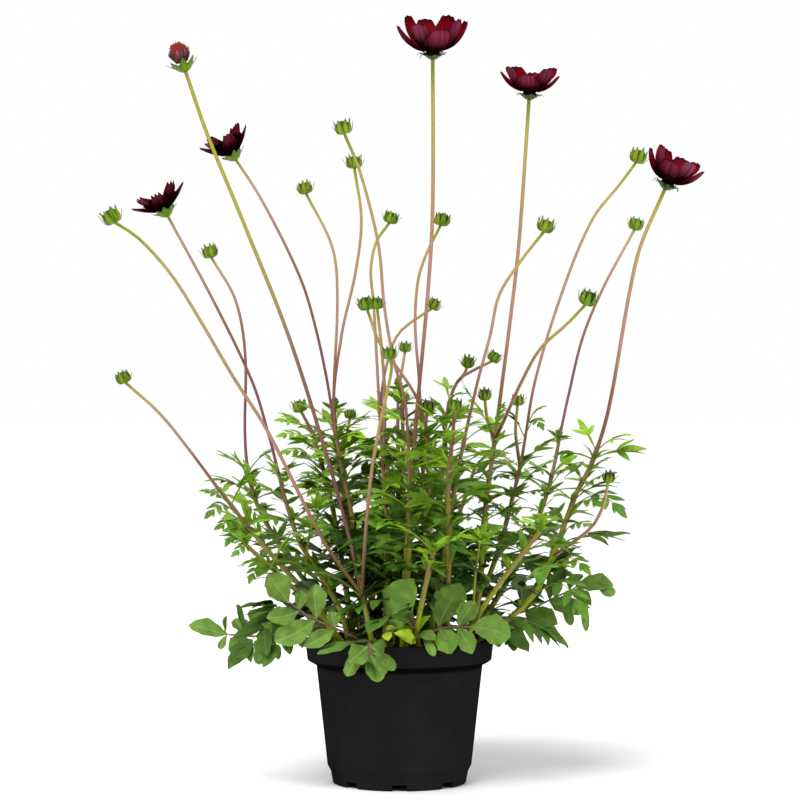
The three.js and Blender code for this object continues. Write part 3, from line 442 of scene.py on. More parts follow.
def add_tube(form, path, radii, sides, tints, slot, ribs=0.0):
    """A round stem through a path (n, 3), closed at both ends, with slight ribs along it."""
    along = directions_along(path)
    across = unit(np.cross(AWAY + 0.01 * UP, along))
    other = np.cross(along, across)
    turns = 2 * np.pi * np.arange(sides) / sides
    radius = np.asarray(radii)[:, None] * (1 + ribs * np.cos(turns * sides / 2))[None, :]
    rings = (
        path[:, None] + across[:, None] * (np.cos(turns) * radius)[..., None]
        + other[:, None] * (np.sin(turns) * radius)[..., None]
    )
    length = lengths_along(path)[:, None]
    places = np.stack(np.broadcast_arrays(turns[None, :], length, 0 * radius), axis=-1)
    tint = np.broadcast_to(np.asarray(tints)[:, None] if np.ndim(tints) == 2 else tints, rings.shape)
    base = form.count
    faces = tube_faces(len(path), sides)
    form.add(rings.reshape(-1, 3), faces, tint.reshape(-1, 3), places.reshape(-1, 3), slot)
    form.cap(base, sides, slot)


# The way that a stem takes.
class Stalk:
    """Its place across the view follows given points, one for each bend.

    Its depth goes from the foot's to the head's, a little faster at first.
    """

    def __init__(self, start, head_depth, front):
        self.start = np.array(start, float)
        self.head_depth = head_depth
        self.front = [(start[0], start[2]), *front]
        self.bottom = start[2]
        self.top = front[-1][1]

    def slope(self, k):
        before = self.front[max(k - 1, 0)]
        after = self.front[min(k + 1, len(self.front) - 1)]
        return (after[0] - before[0]) / (after[1] - before[1])

    def across(self, z):
        """The place across the view at a height, on a cubic between two given points."""
        k = 0
        while k < len(self.front) - 2 and z > self.front[k + 1][1]:
            k += 1
        (x0, z0), (x1, z1) = self.front[k], self.front[k + 1]
        span = z1 - z0
        t = (z - z0) / span
        stay = (1 + 2 * t) * (1 - t) ** 2 * x0 + t * t * (3 - 2 * t) * x1
        return stay + span * t * (1 - t) * ((1 - t) * self.slope(k) - t * self.slope(k + 1))

    def at(self, z):
        part = (z - self.bottom) / (self.top - self.bottom)
        lead = 1 + DEPTH_LEAD - DEPTH_LEAD * part
        depth = self.start[1] + (self.head_depth - self.start[1]) * part * lead
        return np.array([self.across(z), depth, z])

    def direction_at(self, z):
        return unit(self.at(min(z + 1, self.top)) - self.at(max(z - 1, self.bottom)))


# What the tables below are made of.
def bud(size=1.0):
    return {"kind": "bud", "size": size}


def spent_head(lean):
    return {"kind": "spent", "lean": lean, "pitch": SPENT_PITCH, "jagged": 0.0}


def bloom(name, seed, turn, lean, length, width, pitch, curl, cup, jagged=0.0):
    """An open flower: its turn and lean, and its petals' size, rise, curl, cup and raggedness."""
    return {
        "kind": "bloom", "name": name, "seed": seed, "turn": turn, "lean": lean, "length": length,
        "width": width, "pitch": pitch, "curl": curl, "cup": cup, "jagged": jagged,
    }


def leaf_pairs(low, high, turn, length, pairs=2):
    """A stem's leaf pairs, between two heights and crosswise to each other from a turn on."""
    return {"low": low, "high": high, "turn": turn, "length": length, "pairs": pairs}


def stalk(foot, head, front, bears=None):
    """A stalk on its foot in the soil, through places across the view and up, to a head's depth."""
    return {"foot": foot, "head": head, "front": front, "bears": bears}


def branch(height, head, front, bears):
    """A stalk that leaves its shoot's first one at a height."""
    return {"from": height, "head": head, "front": front, "bears": bears}


def shoot(leaves, stalks):
    return {"leaves": leaves, "stalks": stalks}


def leafy_shoot(foot, tip, turn):
    """A shoot without a flower, worked out from its foot and its tip."""
    x, y, z = tip
    middle = [foot[0] + 0.42 * (x - foot[0]), SOIL_TOP + 0.5 * (z - SOIL_TOP)]
    low = SOIL_TOP + 0.3 * (z - SOIL_TOP)
    return shoot(leaf_pairs(low, z - 2, turn, LEAFY_SHOOT_LEAF), [stalk(foot, y, [middle, [x, z]])])


def broad_leaf(name, roll, length, end_at, end_half, foot, way, pairs, yellow=False):
    """A leaf that rises from the soil on an upright foot. Its end leaflet starts at end_at.

    Each pair of leaflets is where it stands along the midrib, its two lengths, angle and half width.
    """
    low, high = BROAD_FOOT_HEIGHTS
    return {
        "name": name, "roll": roll, "length": length, "end_at": end_at, "end_half": end_half,
        "route": [[*foot, low], [*foot, high], *way], "pairs": pairs, "yellow": yellow,
    }


def back_leaf(number, foot, azimuth, reach, lift):
    """A broad leaf of the back, worked out from its foot, the way it points and its reach."""
    draw = seeded_draws(BACK_SEED + number)
    way = azimuth * DEGREE
    at = lambda run, z: [foot[0] + math.cos(way) * run, foot[1] + math.sin(way) * run, z]
    route = [at(5, 97), at(18, 106 + lift), at(0.65 * reach, 108 + lift), at(reach, 94 + 2 * lift)]
    return broad_leaf(f"basal_back_{number}", (draw() - 0.5) * 30, reach + 32, 0.72, 7, foot, route,
        [(0.5, 24, 26, 56, 5.4), (0.64, 19, 18, 52, 4.6)])


def to_tip(start, column, row, depth, **more):
    """What grows from a place on its stem or midrib to where the photo shows its tip.

    The tip is a column and a row of the photo, at a depth behind the pot's axis.
    """
    return {"from": start, "tip": (column, row, depth), **more}


# The shoots that flower, each with its leaves, its first stalk and what branches off it.
FLOWERING_SHOOTS = [
    shoot(leaf_pairs(125, 240, 70, 54), [
        stalk([2, -22], -80, [[3, 128], [10, 236], [19, 336], [22, 390], [22, 489]],
            bloom("bloom_1", 11, 13, [0, -0.3], 25.5, 18, 6, 78, 3)),
    ]),
    shoot(leaf_pairs(130, 228, 10, 56), [
        stalk([41, -7], 30, [[54, 125], [59, 184], [66, 235], [79, 333], [84, 379], [91, 475]],
            bloom("bloom_2", 23, -10, [0.06, -0.17], 21.5, 16, 8, 60, 2.6)),
        branch(235, -95, [[72, 250], [82, 275], [94, 298], [110, 313], [122, 326]], bud(1.05)),
        branch(235, -30, [[60, 251], [58, 264]], bud(0.8)),
    ]),
    shoot(leaf_pairs(120, 228, 35, 56), [
        stalk([42, 7], -45, [[59, 100], [67, 106.5], [78, 114], [96, 134], [121, 199], [131, 219],
            [142, 255], [156, 338], [163, 368], [179, 406]],
            bloom("bloom_3", 37, -12, [0.42, -0.2], 22.5, 16, 12, 72, 3)),
        branch(156, -90, [[128, 176], [135, 192], [137, 210]], bud(0.75)),
    ]),
    shoot(leaf_pairs(130, 235, 50, 54), [
        stalk([-20, 26], 90, [[-28, 129], [-42, 211], [-52, 278], [-66, 336], [-79, 368], [-102, 412],
            [-119, 438]], bloom("bloom_4", 41, 10, [-0.54, -0.05], 20, 11, 30, 24, 2, 0.3)),
    ]),
    shoot(leaf_pairs(130, 205, 20, 56), [
        stalk([-33, 10], 30, [[-41, 117], [-55, 141], [-72, 170], [-92, 241], [-103, 276], [-130, 332],
            [-163, 393]], bloom("bloom_5", 53, 0, [-0.5, 0], 19.5, 11, 24, 20, 2, 1)),
    ]),
    shoot(leaf_pairs(128, 131, 0, 50, pairs=1), [
        stalk([-16, -33], -30, [[-23, 121], [-35, 174], [-48, 221], [-75, 306], [-106, 384],
            [-131, 445], [-145.5, 487]], spent_head([-0.34, 0])),
        branch(131, -115, [[-50, 167], [-88, 244], [-109, 278], [-134, 322], [-150, 347], [-170, 369],
            [-184, 378]], bud(1.1)),
        branch(131, -130, [[-24, 155], [-19, 211], [-13, 246], [-5, 283], [-6, 290]], bud(0.85)),
    ]),
    shoot(leaf_pairs(125, 212, 60, 54), [
        stalk([-39, 19], 110, [[-58, 122], [-96, 178], [-107, 206], [-111, 237], [-112, 297],
            [-120, 337], [-138, 368]], bud()),
    ]),
    shoot(leaf_pairs(130, 245, 0, 56), [
        stalk([-27, 36], 150, [[-28, 128], [-36, 177], [-43, 220], [-48, 257], [-46, 338], [-50, 377],
            [-70, 418]], bud()),
        branch(215, 92, [[-38, 240], [-36, 250]], bud(0.75)),
    ]),
    shoot(leaf_pairs(125, 225, 25, 52), [
        stalk([16, -39], -100, [[6, 129], [7, 183], [4, 260], [-4, 290], [-10, 325], [-14, 366],
            [-26, 413], [-36, 437]], bud()),
    ]),
    shoot(leaf_pairs(140, 245, 80, 54), [
        stalk([-19, 8], 50, [[-30, 165], [-46, 253], [-41, 308], [-31, 354], [-27, 391], [-32, 428]],
            bud()),
    ]),
    shoot(leaf_pairs(150, 212, 45, 52), [
        stalk([-10, -13], 20, [[-9, 167], [-14, 258], [-18, 330], [-20, 354], [-16, 374], [-7, 387]],
            bud(0.9)),
        branch(215, -45, [[-10, 263], [-12, 297], [-15, 325]], bud(0.85)),
    ]),
    shoot(leaf_pairs(140, 240, 0, 54), [
        stalk([15, 12], 30, [[17, 180], [14, 272], [11, 316], [13, 347], [19, 366], [29, 386]], bud()),
    ]),
    shoot(leaf_pairs(135, 245, 30, 54), [
        stalk([-6, 27], 75, [[-5, 178], [-13, 260], [-8, 293], [1, 313], [23, 329]], bud(0.9)),
    ]),
    shoot(leaf_pairs(140, 238, 55, 52), [
        stalk([23, -20], -20, [[20, 181], [19, 236], [13, 262], [1, 282], [-13, 301], [-22, 325]],
            bud()),
        branch(238, -38, [[18, 247], [19, 256]], bud(0.85)),
    ]),
    shoot(leaf_pairs(130, 250, 15, 54), [
        stalk([-1, 41], 120, [[0, 191], [-1, 263], [4, 299]], bud(0.8)),
    ]),
    shoot(leaf_pairs(125, 235, 75, 52), [
        stalk([27, -33], -85, [[27, 129], [38, 210], [51, 272], [60, 306], [66, 333], [80, 355],
            [95, 374]], bud()),
    ]),
    shoot(leaf_pairs(130, 216, 65, 54), [
        stalk([30, 19], 60, [[51, 116], [67, 151], [85, 217], [96, 277], [117, 344], [138, 393],
            [157, 417], [169, 433]], bud(1.1)),
        branch(217, 10, [[83, 227], [81, 242], [82, 260]], bud(0.8)),
    ]),
    shoot(leaf_pairs(125, 225, 5, 56), [
        stalk([33, 28], 150, [[63, 114], [102, 184], [123, 264], [135, 309], [151, 346], [176, 391]],
            bud()),
    ]),
    shoot(leaf_pairs(118, 192, 40, 56), [
        stalk([-42, -11], -50, [[-49, 113], [-91, 163], [-120, 200], [-142, 230], [-162, 255],
            [-184, 275]], bud(0.9)),
    ]),
    shoot(leaf_pairs(130, 238, 85, 54), [
        stalk([-31, 27], 80, [[-46, 178], [-62, 238], [-71, 255]], bud(0.95)),
    ]),
    shoot(leaf_pairs(130, 262, 20, 54), [
        stalk([20, 29], 60, [[27, 164], [33, 246], [37, 267], [45, 280], [66, 291]], bud(0.85)),
        branch(276, 44, [[46, 282], [48, 287]], bud(0.85)),
    ]),
    shoot(leaf_pairs(120, 240, 50, 52), [
        stalk([32, -10], -110, [[33, 171], [32, 204], [36, 257]], bud(0.8)),
    ]),
]

# The shoots without a flower, each by its foot, its tip and the turn of its leaves.
LEAFY_SHOOTS = [
    leafy_shoot([-29, -22], [-104, -60, 168], 20),
    leafy_shoot([8, -30], [22, -114, 166], 60),
    leafy_shoot([36, -22], [92, -98, 178], 0),
    leafy_shoot([17, 40], [56, 128, 214], 35),
    leafy_shoot([-12, 37], [-40, 138, 196], 75),
    leafy_shoot([4, 8], [2, 2, 262], 15),
]

# The broad leaves that arch over the rim. The last four stand at the back, out of the photo's sight.
BROAD_LEAVES = [
    broad_leaf("basal_left", -52, 120, 0.78, 5.2, [-37, -2],
        [[-46, -7, 97], [-60, -14, 102.5], [-86, -19, 102], [-115, -21, 103], [-144, -20, 110]],
        [(0.53, 19, 29, 58, 5.2), (0.67, 16, 17, 55, 4.4)]),
    broad_leaf("basal_left_front", -68, 114, 0.79, 7.4, [-22.3, -42],
        [[-24.3, -50, 97], [-30, -58, 105], [-46, -61, 112], [-58, -62, 118], [-72, -63, 127],
            [-88, -64, 147]],
        [(0.46, 24, 13, 55, 4), (0.58, 31, 26, 60, 5.8), (0.7, 22, 15, 58, 4.2)]),
    broad_leaf("basal_front", 0, 74, 0.76, 9.6, [-10.2, -43],
        [[-13.2, -52, 96], [-19, -62, 102.5], [-21, -70, 102], [-18, -76, 93], [-15, -78, 78]],
        [(0.5, 10, 35, 72, 4.8), (0.66, 13, 21, 62, 4.6)]),
    broad_leaf("basal_yellow", 38, 62, 0.76, 4.2, [-3, -46],
        [[-8, -55, 100], [-13, -60, 107.5], [-6, -65, 109], [4, -68, 106], [11, -69, 103]],
        [(0.66, 7, 8, 56, 2.4)], yellow=True),
    broad_leaf("basal_centre", 74, 78, 0.46, 10.8, [-5, -37],
        [[-4, -45, 95], [-3, -54, 107], [4, -60, 126], [12, -63, 144]],
        [(0.4, 15, 8, 66, 3.4)]),
    broad_leaf("basal_grey", 25, 48, 0.72, 4.4, [4, -44],
        [[7.4, -54, 98.4], [12.2, -62.2, 105.4], [24, -69.4, 102.8]],
        [(0.62, 10, 12, 58, 3)]),
    broad_leaf("basal_right_front", 74, 92, 0.7, 7.6, [19, -46],
        [[18, -52, 96], [17, -58, 106], [27, -61, 111], [39, -62, 112], [57, -62, 111], [75, -60, 106]],
        [(0.46, 34, 19, 66, 6.6), (0.6, 20, 20, 60, 4.8)]),
    broad_leaf("basal_right_low", 30, 62, 0.7, 5.4, [46, -17],
        [[50, -21, 96], [56, -27, 103], [66, -33, 105], [78, -38, 101], [88, -41, 95]],
        [(0.58, 14, 14, 50, 3.6)]),
    broad_leaf("basal_right", 46, 122, 0.8, 6, [40, 17],
        [[48, 18, 98], [62, 18, 107], [92, 14, 118], [125, 8, 134], [148, 4, 136]],
        [(0.5, 27, 26, 52, 5.8), (0.64, 25, 28, 55, 5), (0.76, 14, 22, 50, 3.6)]),
    back_leaf(1, [45, 24], 20, 62, 0),
    back_leaf(2, [8, 38], 94, 72, 6),
    back_leaf(3, [-21, 44], 134, 64, 3),
    back_leaf(4, [-40, 28], 164, 66, 5),
]

# Leaves given one by one, by the number of the shoot whose first stalk they leave at a height.
PLACED_LEAVES = {
    2: [
        to_tip(238, 460, 381, 4, rise=2, age=0.2),
        to_tip(240, 505, 401, 4, age=0.3),
    ],
    3: [
        to_tip(205, 612, 457, -30, age=0.4),
        to_tip(198, 618, 474, -34, age=0.5),
        to_tip(190, 628, 517, -30, rise=12, age=0.7),
        to_tip(182, 606, 508, -34, rise=9, age=0.4),
        to_tip(172, 594, 527, -30, age=0.6),
        to_tip(148, 592, 574, -24, rise=9, age=0.5),
        to_tip(130, 588, 620, -30, rise=16, age=0.6),
        to_tip(112, 514, 652, -40, rise=8, age=0.8, broad=1.4),
    ],
    5: [
        to_tip(206, 262, 452, 10, age=0.2),
        to_tip(200, 286, 470, 8, age=0.2),
    ],
    7: [
        to_tip(190, 244, 458, 50, age=0.1),
        to_tip(182, 232, 476, 50, age=0.3),
    ],
    8: [
        to_tip(236, 322, 409, 80, age=0.3),
        to_tip(230, 298, 426, 76, age=0.3),
    ],
    11: [
        to_tip(140, 403, 495, -46, rise=0, age=0.8, broad=1.5),
    ],
    17: [
        to_tip(246, 547, 407, 34, age=0.3),
        to_tip(240, 544, 430, 30, rise=9, age=0.4),
        to_tip(236, 500, 404, 30, age=0.3),
        to_tip(196, 556, 460, 24, age=0.2),
    ],
    18: [
        to_tip(200, 582, 462, 60, age=0.4),
        to_tip(150, 544, 578, 20, rise=8, age=0.95, broad=2.2),
    ],
    19: [
        to_tip(192, 199, 490, -40, rise=3, age=0.4),
        to_tip(184, 204, 519, -44, rise=9, age=0.7),
        to_tip(176, 214, 531, -42, rise=7, age=0.5),
        to_tip(168, 224, 546, -42, rise=8, age=0.6),
        to_tip(160, 244, 500, -20, rise=-3, age=0.3),
    ],
    20: [
        to_tip(200, 300, 474, 60, age=0.2),
        to_tip(218, 277, 453, 66, age=0.2),
        to_tip(232, 275, 437, 72, age=0.1),
        to_tip(240, 273, 421, 76, age=0.1),
    ],
    23: [
        to_tip(158, 231, 558, -60, rise=8, age=0.6),
        to_tip(150, 248, 584, -62, rise=9, age=0.8),
        to_tip(112, 226, 666, -62, rise=16, age=0.95, broad=1.3),
        to_tip(110, 262, 666, -60, rise=12, age=0.9, broad=1.3),
    ],
}

# The broad leaves' further leaflets. Each starts at a part of its leaf's midrib.
HANGING = {
    "basal_left": [
        to_tip(0.7, 239, 604, -18, rise=0, half=4.4),
        to_tip(0.8, 227, 616, -18, rise=0, half=3.2),
        to_tip(0.79, 220, 649, -24, rise=1, half=2.8),
        to_tip(0.7, 238, 663, -26, rise=2, half=4),
        to_tip(0.6, 259, 664, -26, rise=2, half=4.6),
    ],
    "basal_front": [
        to_tip(0.6, 378, 680, -84, rise=3, half=7),
        to_tip(0.66, 347, 676, -80, rise=3, half=4.8),
        to_tip(0.74, 394, 671, -80, rise=3, half=4.4),
    ],
    "basal_grey": [
        to_tip(0.8, 434, 655, -74, rise=2, half=3.2),
    ],
    "basal_right": [
        to_tip(0.84, 586, 632, 0, rise=3, half=2.8),
        to_tip(0.9, 613, 597, 0, rise=2, half=4.6),
        to_tip(0.72, 571, 626, 2, rise=3, half=3.6),
    ],
}

# Short side stems with a whorl of young leaves, by the number of their shoot.
WHORLS = {
    19: to_tip(134, 316, 508, -34),
    25: to_tip(112, 480, 541, -78),
}


# Places round an axis and along curves.
def out_from(axis, turn):
    """The direction square to an axis at a turn about it."""
    across = unit(np.cross(AWAY, axis))
    turn = np.asarray(turn)[..., None]
    return across * np.cos(turn) + np.cross(axis, across) * np.sin(turn)


def turned(vector, axis, angle):
    """A vector turned about an axis, for rows of both."""
    along = axis * np.sum(axis * vector, axis=-1, keepdims=True)
    cos, sin = math.cos(angle), math.sin(angle)
    return vector * cos + np.cross(axis, vector) * sin + along * (1 - cos)


def curve_through(points, steps=24):
    """A smooth curve through points, as many places close together. Its pieces are cubic."""
    given = np.array(points, float)
    given = np.concatenate([[2 * given[0] - given[1]], given, [2 * given[-1] - given[-2]]])
    places = []
    for k in range(1, len(given) - 2):
        p0, p1, p2, p3 = given[k - 1:k + 3]
        gaps = ((p0, p1), (p1, p2), (p2, p3))
        d0, d1, d2 = (max(np.linalg.norm(b - a), 1e-4) ** 0.5 for a, b in gaps)
        leave = ((p1 - p0) / d0 - (p2 - p0) / (d0 + d1) + (p2 - p1) / d1) * d1
        arrive = ((p2 - p1) / d1 - (p3 - p1) / (d1 + d2) + (p3 - p2) / d2) * d1
        t = np.linspace(0, 1, steps, endpoint=k == len(given) - 3)[:, None]
        places.append(
            (2 * t ** 3 - 3 * t * t + 1) * p1 + (t ** 3 - 2 * t * t + t) * leave
            + (3 * t * t - 2 * t ** 3) * p2 + (t ** 3 - t * t) * arrive
        )
    return np.concatenate(places)


def along_curve(places, part):
    """The places on a curve at parts of its length, with the curve's direction there."""
    length = lengths_along(places)
    at = np.clip(part, 0, 1) * length[-1]
    pick = lambda rows: np.stack([np.interp(at, length, row) for row in rows.T], axis=-1)
    return pick(places), unit(pick(directions_along(places)))


# Midribs. Each gives, for lengths along it, its place, its direction and the way it heads.
def arched_rib(start, azimuth, pitch, bend):
    out = np.array([math.cos(azimuth), math.sin(azimuth), 0])

    def rib(s):
        now = pitch - bend * s
        run = (math.sin(pitch) - np.sin(now)) / bend
        rise = (np.cos(now) - math.cos(pitch)) / bend
        place = start + run[..., None] * out + rise[..., None] * UP
        along = np.cos(now)[..., None] * out + np.sin(now)[..., None] * UP
        return place, along, np.broadcast_to(out, along.shape)
    return rib


def routed_rib(route, length):
    places = curve_through(route)

    def rib(s):
        place, along = along_curve(places, s / length)
        heading = along_curve(places, np.maximum(s, UPRIGHT_FOOT) / length)[1]
        return place, along, heading
    return rib


def on_leaf(rib, roll, droop, s, v):
    """Points of a leaf, from lengths s along its midrib and v across it, and the ways they face."""
    place, along, heading = rib(s)
    side = turned(unit(np.cross(UP, heading)), along, roll)
    facing = unit(np.cross(along, side))
    return place + side * v[..., None] - facing * (droop * np.abs(v))[..., None], facing


# Leaves. On a blade, t goes from 0 to 1 along it and q from -1 to 1 across it.
def leaf_outline(t, shape):
    """The half width of a leaflet along it, as a part of its broadest."""
    root, tip = shape
    broadest = root / (root + tip)
    return t ** root * (1 - t) ** tip / (broadest ** root * (1 - broadest) ** tip)


def leaf_tint(age, draw):
    """A leaf's colour from young, 0, to old, 1, with a drawn change of tone. Past an age of 0.7 it is
    darkened further, as painted shade for the low leaves deep in the clump.
    """
    tint = blended(*LEAF_AGES, age)
    return tint * (0.7 + 0.55 * draw()) * (1 - 0.9 * max(age - 0.7, 0))


def add_leaflet(form, leaf, root, angle, length, half, tint, draw):
    """A pointed leaflet on a leaf's midrib, folded along its own rib and a little waved."""
    short = length < SHORT_LEAFLET and half < TOOTHED_LEAF
    rows = SMALL_LEAFLET_ROWS if short else LEAFLET_ROWS
    columns = SMALL_LEAFLET_COLUMNS if half < NARROW_LEAFLET else LEAFLET_COLUMNS
    t = (1 - np.cos(np.linspace(0, np.pi, rows + 1))) / 2
    q = np.linspace(-1, 1, columns)
    width = np.maximum(half * leaf_outline(t, leaf.get("shape", POINTED_LEAF)), LEAF_TIP)
    if half > TOOTHED_LEAF:
        width *= 1 + TOOTH_DEPTH * np.sin(np.arange(rows + 1) * np.pi / 1.5 + 6 * draw())
    across = q[None] * width[:, None]
    along = np.repeat(t[:, None] * length, columns, axis=1)
    s = root[0] + math.cos(angle) * along - math.sin(angle) * across
    v = root[1] + math.sin(angle) * along + math.cos(angle) * across
    points, facing = on_leaf(leaf["rib"], leaf["roll"], leaf["droop"], s, v)
    fold = (leaf.get("fold", LEAF_FOLD) + 0.3 * draw()) * np.abs(across)
    wave = LEAF_WAVE * half * np.sin(9 * t + 6 * draw())[:, None] * q[None] ** 2
    curl = (0.12 - 0.3 * draw()) * along ** 2 / length
    points = points + facing * (fold + wave + curl)[..., None]
    shade = (0.86 + 0.28 * t)[:, None, None] * tint
    places = np.stack([along, across, np.full(along.shape, 50 * draw())], axis=-1)
    # The underside takes painted shade.
    add_lens(form, points, facing, LEAF_THICKNESS, (shade, shade * UNDERSIDE_SHADE), places, (LEAF, LEAF))


def add_leaf(form, leaf, age, seed, rachis):
    """A pinnate leaf: leaflets on a thin rachis, which may have a narrow blade along it."""
    draw = seeded_draws(seed)
    tint = leaf.get("tint", leaf_tint(age, draw))
    s = np.linspace(0, leaf["end_at"], 8)
    path = on_leaf(leaf["rib"], leaf["roll"], leaf["droop"], s, 0 * s)[0]
    radii = np.linspace(leaf["rachis"], 0.6 * leaf["rachis"], len(s))
    add_tube(form, path, radii, RACHIS_SIDES, rachis, STEM)
    if "wing" in leaf:
        start, reach = 0.15 * leaf["length"], 0.8 * leaf["length"]
        add_leaflet(form, leaf, (start, 0), 0, reach, leaf["wing"], tint * 0.95, draw)
    for pair in leaf["pairs"]:
        for side, length in ((1, pair["left"]), (-1, pair["right"])):
            root = (pair["at"], 0.3 * side)
            tone = tint * (0.9 + 0.2 * draw())
            add_leaflet(form, leaf, root, side * pair["angle"], length, pair["half"], tone, draw)
    end = leaf["length"] - leaf["end_at"]
    add_leaflet(form, leaf, (leaf["end_at"], 0), 0, end, leaf["end_half"], tint * 1.05, draw)


def leaf_sites(leaves):
    """The leaves that the solids carry: where each stands, and its way before it is bent."""
    for k in range(leaves["pairs"]):
        part = k / (leaves["pairs"] - 1) if leaves["pairs"] > 1 else 0
        for half in (0, 180):
            yield {
                "z": mixed(leaves["low"], leaves["high"], part),
                "azimuth": leaves["turn"] + 90 * k + half,
                "length": leaves["length"] * (1.12 - 0.5 * part),
                "broad": 1.25 - 0.45 * part,
            }


def leaf_choice(site, seed, attempt):
    """One of the ways in which a leaf may be bent to stay clear of what stands round it."""
    draw = seeded_draws(seed * 16 + attempt)
    wander = FIRST_WANDER if attempt == 0 else LATER_WANDER
    return {
        "azimuth": (site["azimuth"] + (draw() * 2 - 1) * wander) * DEGREE,
        "pitch": (22 + 34 * draw() + 2 * attempt) * DEGREE,
        "bend": (0.35 + 0.75 * draw()) * DEGREE,
        "length": site["length"] * (1.04 - 0.04 * attempt) * (0.9 + 0.2 * draw()),
        "roll": (draw() - 0.5) * 36 * DEGREE,
        "broad": site["broad"],
    }


def shoot_leaf(start, choice):
    """A shoot's leaf, with each leaflet from the midrib to where its solid has its tip."""
    length, broad = choice["length"], choice["broad"]
    half = LEAFLET_HALF * length * broad
    places = LONG_LEAF_PAIRS if length > LONG_LEAF else SHORT_LEAF_PAIRS
    pairs = []
    for at, part, root in places:
        ahead = root / 2 + math.cos(LOBE_ANGLE) * part * length
        aside = RACHIS_HALF_WIDTH + math.sin(LOBE_ANGLE) * part * length
        reach = math.hypot(ahead, aside)
        pairs.append({
            "at": at * length + root / 2, "left": reach, "right": reach,
            "angle": math.atan2(aside, ahead), "half": half + 0.6,
        })
    end_at = places[-1][0] * length + 3
    small = 0.3 * (length - end_at)
    pairs.append({
        "at": end_at + 0.12 * length, "left": small, "right": small, "angle": 0.6,
        "half": 0.026 * length * broad + 0.4,
    })
    return {
        "rib": arched_rib(start, choice["azimuth"], choice["pitch"], choice["bend"]),
        "roll": choice["roll"], "droop": LEAF_DROOP, "length": length, "pairs": pairs,
        "end_at": end_at, "end_half": END_LEAFLET_HALF * length * broad,
        "rachis": 0.4 + 0.004 * length, "wing": half,
    }


def solid_points(node):
    """The corners of a solid, in millimetres."""
    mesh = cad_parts[node].data
    flat = np.zeros(3 * len(mesh.vertices), np.float32)
    mesh.vertices.foreach_get("co", flat)
    return flat.reshape(-1, 3) / MM


def solid_leaves(number, curve, leaves):
    """The leaves that the shoot's solid has, found by where their tips lie."""
    corners = solid_points(f"shoot_{number}")
    for k, site in enumerate(leaf_sites(leaves)):
        start = curve.at(min(site["z"], curve.top - 1))
        choices = [leaf_choice(site, number * 20 + k, attempt) for attempt in range(LEAF_TRIES)]
        found = [shoot_leaf(start, choice) for choice in choices]
        tips = [leaf["rib"](np.array(leaf["length"]))[0] for leaf in found]
        misses = [np.linalg.norm(corners - tip, axis=1).min() for tip in tips]
        kept = [leaf for leaf, miss in zip(found, misses) if miss < TIP_MISS]
        yield site["z"], (kept or found)[0]


def extra_leaves(number, curve, leaves):
    """Leaf pairs between the solid's own, crosswise to each other up the stem."""
    draw = seeded_draws(EXTRA_SEED + number)
    taken = [site["z"] for site in leaf_sites(leaves)]
    top = max(leaves["high"] - 8, LOWEST_LEAF + 20)
    z = (FRONT_LOWEST_LEAF if curve.start[1] < FRONT_FOOT_DEPTH else LOWEST_LEAF) + 8 * draw()
    turn = leaves["turn"] + 45
    while z < min(top + 6, curve.top - 4):
        part = (z - LOWEST_LEAF) / (top - LOWEST_LEAF)
        if min(abs(z - other) for other in taken) > LEAF_CLEARANCE:
            for half in (0, 180):
                yield z, shoot_leaf(curve.at(z), {
                    "azimuth": (turn + half + 40 * (draw() - 0.5)) * DEGREE,
                    "pitch": (14 + 30 * draw() + 10 * part) * DEGREE,
                    "bend": (0.6 + 1 * draw()) * DEGREE,
                    "length": mixed(EXTRA_LEAF_LOW, EXTRA_LEAF_HIGH, part) * (0.8 + 0.35 * draw()),
                    "roll": 80 * (draw() - 0.5) * DEGREE,
                    "broad": mixed(1.25, 0.95, part),
                })
        turn += 90
        z += LEAF_STEP * (0.85 + 0.3 * draw())


def add_tuft(form, place, age, seed, count, length):
    """Small narrow young leaves that stand close together at one place."""
    draw = seeded_draws(seed)
    for k in range(count):
        azimuth = (360 * k / count + 50 * draw()) * DEGREE
        rib = arched_rib(place, azimuth, (15 + 55 * draw()) * DEGREE, (0.8 + 2.4 * draw()) * DEGREE)
        leaf = {"rib": rib, "roll": 1.4 * (draw() - 0.5), "droop": LEAF_DROOP}
        reach = length * (0.6 + 0.5 * draw())
        add_leaflet(form, leaf, (0, 0), 0, reach, 0.1 * reach + 0.6, leaf_tint(age, draw), draw)


def seen_at(column, row, depth):
    """The place that the photo shows at a column and row, at a depth behind the pot's axis."""
    scale = (CAMERA_DISTANCE + depth) / CAMERA_DISTANCE * VIEW_WIDTH / PHOTO_WIDTH_PX
    middle = PHOTO_WIDTH_PX / 2
    across = (column - middle + POT_AXIS_LEFT_OF_MIDDLE_PX) * scale
    return np.array([across, depth, CAMERA_HEIGHT + (middle - row) * scale])


def placed_leaf(start, given):
    """A leaf from a place on a stem to where the photo shows its tip, turned to be seen."""
    tip = seen_at(*given["tip"])
    route = [start, (start + tip) / 2 + UP * given.get("rise", 5), tip]
    places = curve_through(route)
    length = np.sum(np.linalg.norm(np.diff(places, axis=0), axis=1))
    out = (tip - start) * [1, 1, 0]
    heading = unit(out - AWAY * (4 + 0.2 * np.linalg.norm(out)))
    broad = given.get("broad", 1)

    def rib(s):
        place, along = along_curve(places, s / length)
        return place, along, np.broadcast_to(heading, along.shape)
    pairs = [
        {
            "at": at * length, "left": part * length, "right": part * length, "angle": 0.75,
            "half": (0.05 * length + 0.5) * broad * part / 0.3,
        }
        for at, part in PLACED_PAIRS
    ]
    return {
        "rib": rib, "roll": 0.6 * heading[0], "droop": LEAF_DROOP, "length": length, "pairs": pairs,
        "end_at": 0.7 * length, "end_half": (0.06 * length + 0.6) * broad, "rachis": 0.5,
    }


